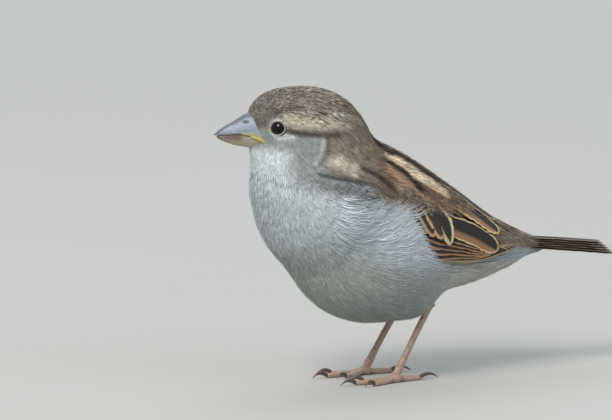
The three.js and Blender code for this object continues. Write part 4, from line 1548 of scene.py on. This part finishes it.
def make_foot(name, side, material):
    """Pad and toes as one piece, flat where they bear on the ground."""
    pad = pad_grid() * [2.0, 1.7, 1.5] + FOOT * [1, -side, 0] + [0, 0, 1.2]
    parts = [(pad, plate_colours(pad.shape, 3))] + [toe_tube(side, toe) for toe in TOES.values()]
    faces, points, colours, bake = [], [], [], []
    for number, (rings, shades) in enumerate(parts):
        faces.append(grid_faces(*rings.shape[:2], wrap=True) + sum(map(len, points)))
        points.append(rings.reshape(-1, 3))
        colours.append(shades.reshape(-1, 3))
        bake.append((shell_map(*rings.shape[:2]) + [number % 3, number // 3]) / 3)
    faces, points, colours, bake = map(np.concatenate, (faces, points, colours, bake))
    points[:, 2] = np.maximum(points[:, 2], 0.0)
    return new_piece(name, points, faces, material, {"scale": colours}, bake=bake)


def make_shank(name, side, material):
    ankle, foot = ANKLE * [1, -side, 1], FOOT * [1, -side, 1]
    places = [blend(ankle, foot, -0.12), ankle, blend(ankle, foot, 0.5), foot * [1, 1, 0] + [0, 0, 1.6]]
    radii = [(0, 1.15), (0.14, 1.45), (0.3, 0.95), (0.8, 0.88), (1, 1.3)]
    rings = tube(places, radii, 120, 28, 0.85, plates(SHANK_PLATES, 0.12))
    return new_shell(name, rings, material, {"scale": plate_colours(rings.shape, SHANK_PLATES)})


def make_claw(name, side, toe, material):
    start, long = toe["length"] - 0.2, toe["claw"] + 0.3
    arch = [(0, 0.05), (0.25, 0.75), (0.5, 0.95), (0.75, 0.62), (1, -0.32)]
    places = [toe_place(side, toe["heading"], start + long * share, rise) for share, rise in arch]
    rings = tube(places, [(0, 0.66), (0.4, 0.5), (0.8, 0.28), (1, 0.1)], 36, 16, 0.72)
    rings[..., 2] = np.maximum(rings[..., 2], 0.0)
    towards_tip = np.linspace(0, 1, 36)[:, None, None] * np.ones((1, 16, 1))
    colours = blend(linear("4a3c34"), linear("6f5f54"), ramp(towards_tip, 0.5, 1))
    return new_shell(name, rings, material, {"horn": colours})


for side_name, side in SIDES.items():
    shank = make_shank(f"scales_shank_{side_name}", side, leg_finish)
    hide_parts(f"shank_{side_name}")
    foot = make_foot(f"scales_foot_{side_name}", side, leg_finish)
    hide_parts(f"foot_{side_name}")
    for toe_name, toe in TOES.items():
        claw = make_claw(f"horn_claw_{toe_name}_{side_name}", side, toe, claw_finish)
        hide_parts(f"claw_{toe_name}_{side_name}")
print("bare leg:", round(float(np.linalg.norm(ANKLE - FOOT)), 1), "mm")

# %% [markdown]
# ## Floor, light and camera
# A museum bird is shown on a plain pale ground under soft light. A large soft light from the upper
# left models the head and breast, a weaker one fills the far side and a third lifts the back from the
# ground. The camera is a long lens far away, thirty degrees off the bird's side and eight degrees up.

# %% Stage
FLOOR_HALF = 8  # metres


def stage_material():
    """Matt paint, rolled on, with hardly any cloudiness."""
    material, tree, shader = new_material("pale matt paint", Roughness=0.9, Specular_IOR_Level=0.2)
    where = add_node(tree, "ShaderNodeTexCoord").outputs["Object"]
    cloud = add_node(tree, "ShaderNodeTexNoise", {"Vector": where, "Scale": 3.0, "Detail": 3.0})
    tone = add_node(tree, "ShaderNodeValToRGB", [cloud.outputs["Fac"]])
    for stop, hex_colour in zip(tone.color_ramp.elements, ("a9aaa7", "b1b2af")):
        stop.color = (*linear(hex_colour), 1)
    tree.links.new(tone.outputs["Color"], shader.inputs["Base Color"])
    return material


floor_mesh = bpy.data.meshes.new("floor")
corners = [(x * FLOOR_HALF, y * FLOOR_HALF, 0) for x, y in ((-1, -1), (1, -1), (1, 1), (-1, 1))]
floor_mesh.from_pydata(corners, [], [(0, 1, 2, 3)])
floor_mesh.materials.append(stage_material())
floor = bpy.data.objects.new("floor", floor_mesh)
bpy.context.scene.collection.objects.link(floor)
print("floor:", 2 * FLOOR_HALF, "m square")

# %% Lights
LIGHT_TARGET = np.array([0, 0, 0.045])  # metres, the middle of the bird
LIGHTS = {  # azimuth and elevation in degrees, distance and size in metres, watts, colour
    "key": (-62, 44, 3.0, 1.3, 80, "fffaf2"),
    "fill": (35, 25, 3.5, 2.5, 20, "e6eeff"),
    "back": (150, 50, 3.2, 2.2, 32, "f2f6ff"),
}


def toward(azimuth, elevation):
    """Unit vector from the bird towards a place at this azimuth and elevation, in radians."""
    level = math.cos(elevation)
    return np.array([level * math.sin(azimuth), -level * math.cos(azimuth), math.sin(elevation)])


def aim(thing, direction):
    """Turns a light or camera so that it looks along a direction, upright."""
    thing.rotation_euler = Vector(direction).to_track_quat("-Z", "Y").to_euler()
    bpy.context.scene.collection.objects.link(thing)


for name, (azimuth, elevation, distance, size, watts, colour) in LIGHTS.items():
    data = bpy.data.lights.new(name, "AREA")
    data.energy, data.size, data.color = watts, size, linear(colour)
    light = bpy.data.objects.new(name, data)
    light.location = distance * toward(math.radians(azimuth), math.radians(elevation))
    aim(light, LIGHT_TARGET - np.array(light.location))

world = bpy.data.worlds.new("studio")
world.use_nodes = True
sky = world.node_tree.nodes["Background"]
sky.inputs["Color"].default_value = (*linear("e4e9ec"), 1)
sky.inputs["Strength"].default_value = 0.8
bpy.context.scene.world = world
bpy.context.scene.view_settings.view_transform = "Standard"
print("lights:", ", ".join(LIGHTS))

# %% Camera
AZIMUTH, ELEVATION = math.radians(-30), math.radians(8)
PIXELS_PER_MM = 3.6
FRAME_WIDTH = 612
FRAME_MIDDLE = np.array([-21.94, 46.67])  # mm right and up of the bird's own middle
DISTANCE = 4000.0
SENSOR = 36.0
right = np.array([math.cos(AZIMUTH), math.sin(AZIMUTH), 0])
view = -toward(AZIMUTH, ELEVATION)
up = np.cross(right, view)
target = right * FRAME_MIDDLE[0] + up * FRAME_MIDDLE[1]
camera_data = bpy.data.cameras.new("camera")
camera_data.sensor_width = SENSOR
camera_data.lens = SENSOR * DISTANCE / (FRAME_WIDTH / PIXELS_PER_MM)
camera_data.clip_end = 30
camera = bpy.data.objects.new("camera", camera_data)
camera.location = metres(target - view * DISTANCE)
aim(camera, view)
bpy.context.scene.camera = camera
print("lens:", round(camera_data.lens), "mm")
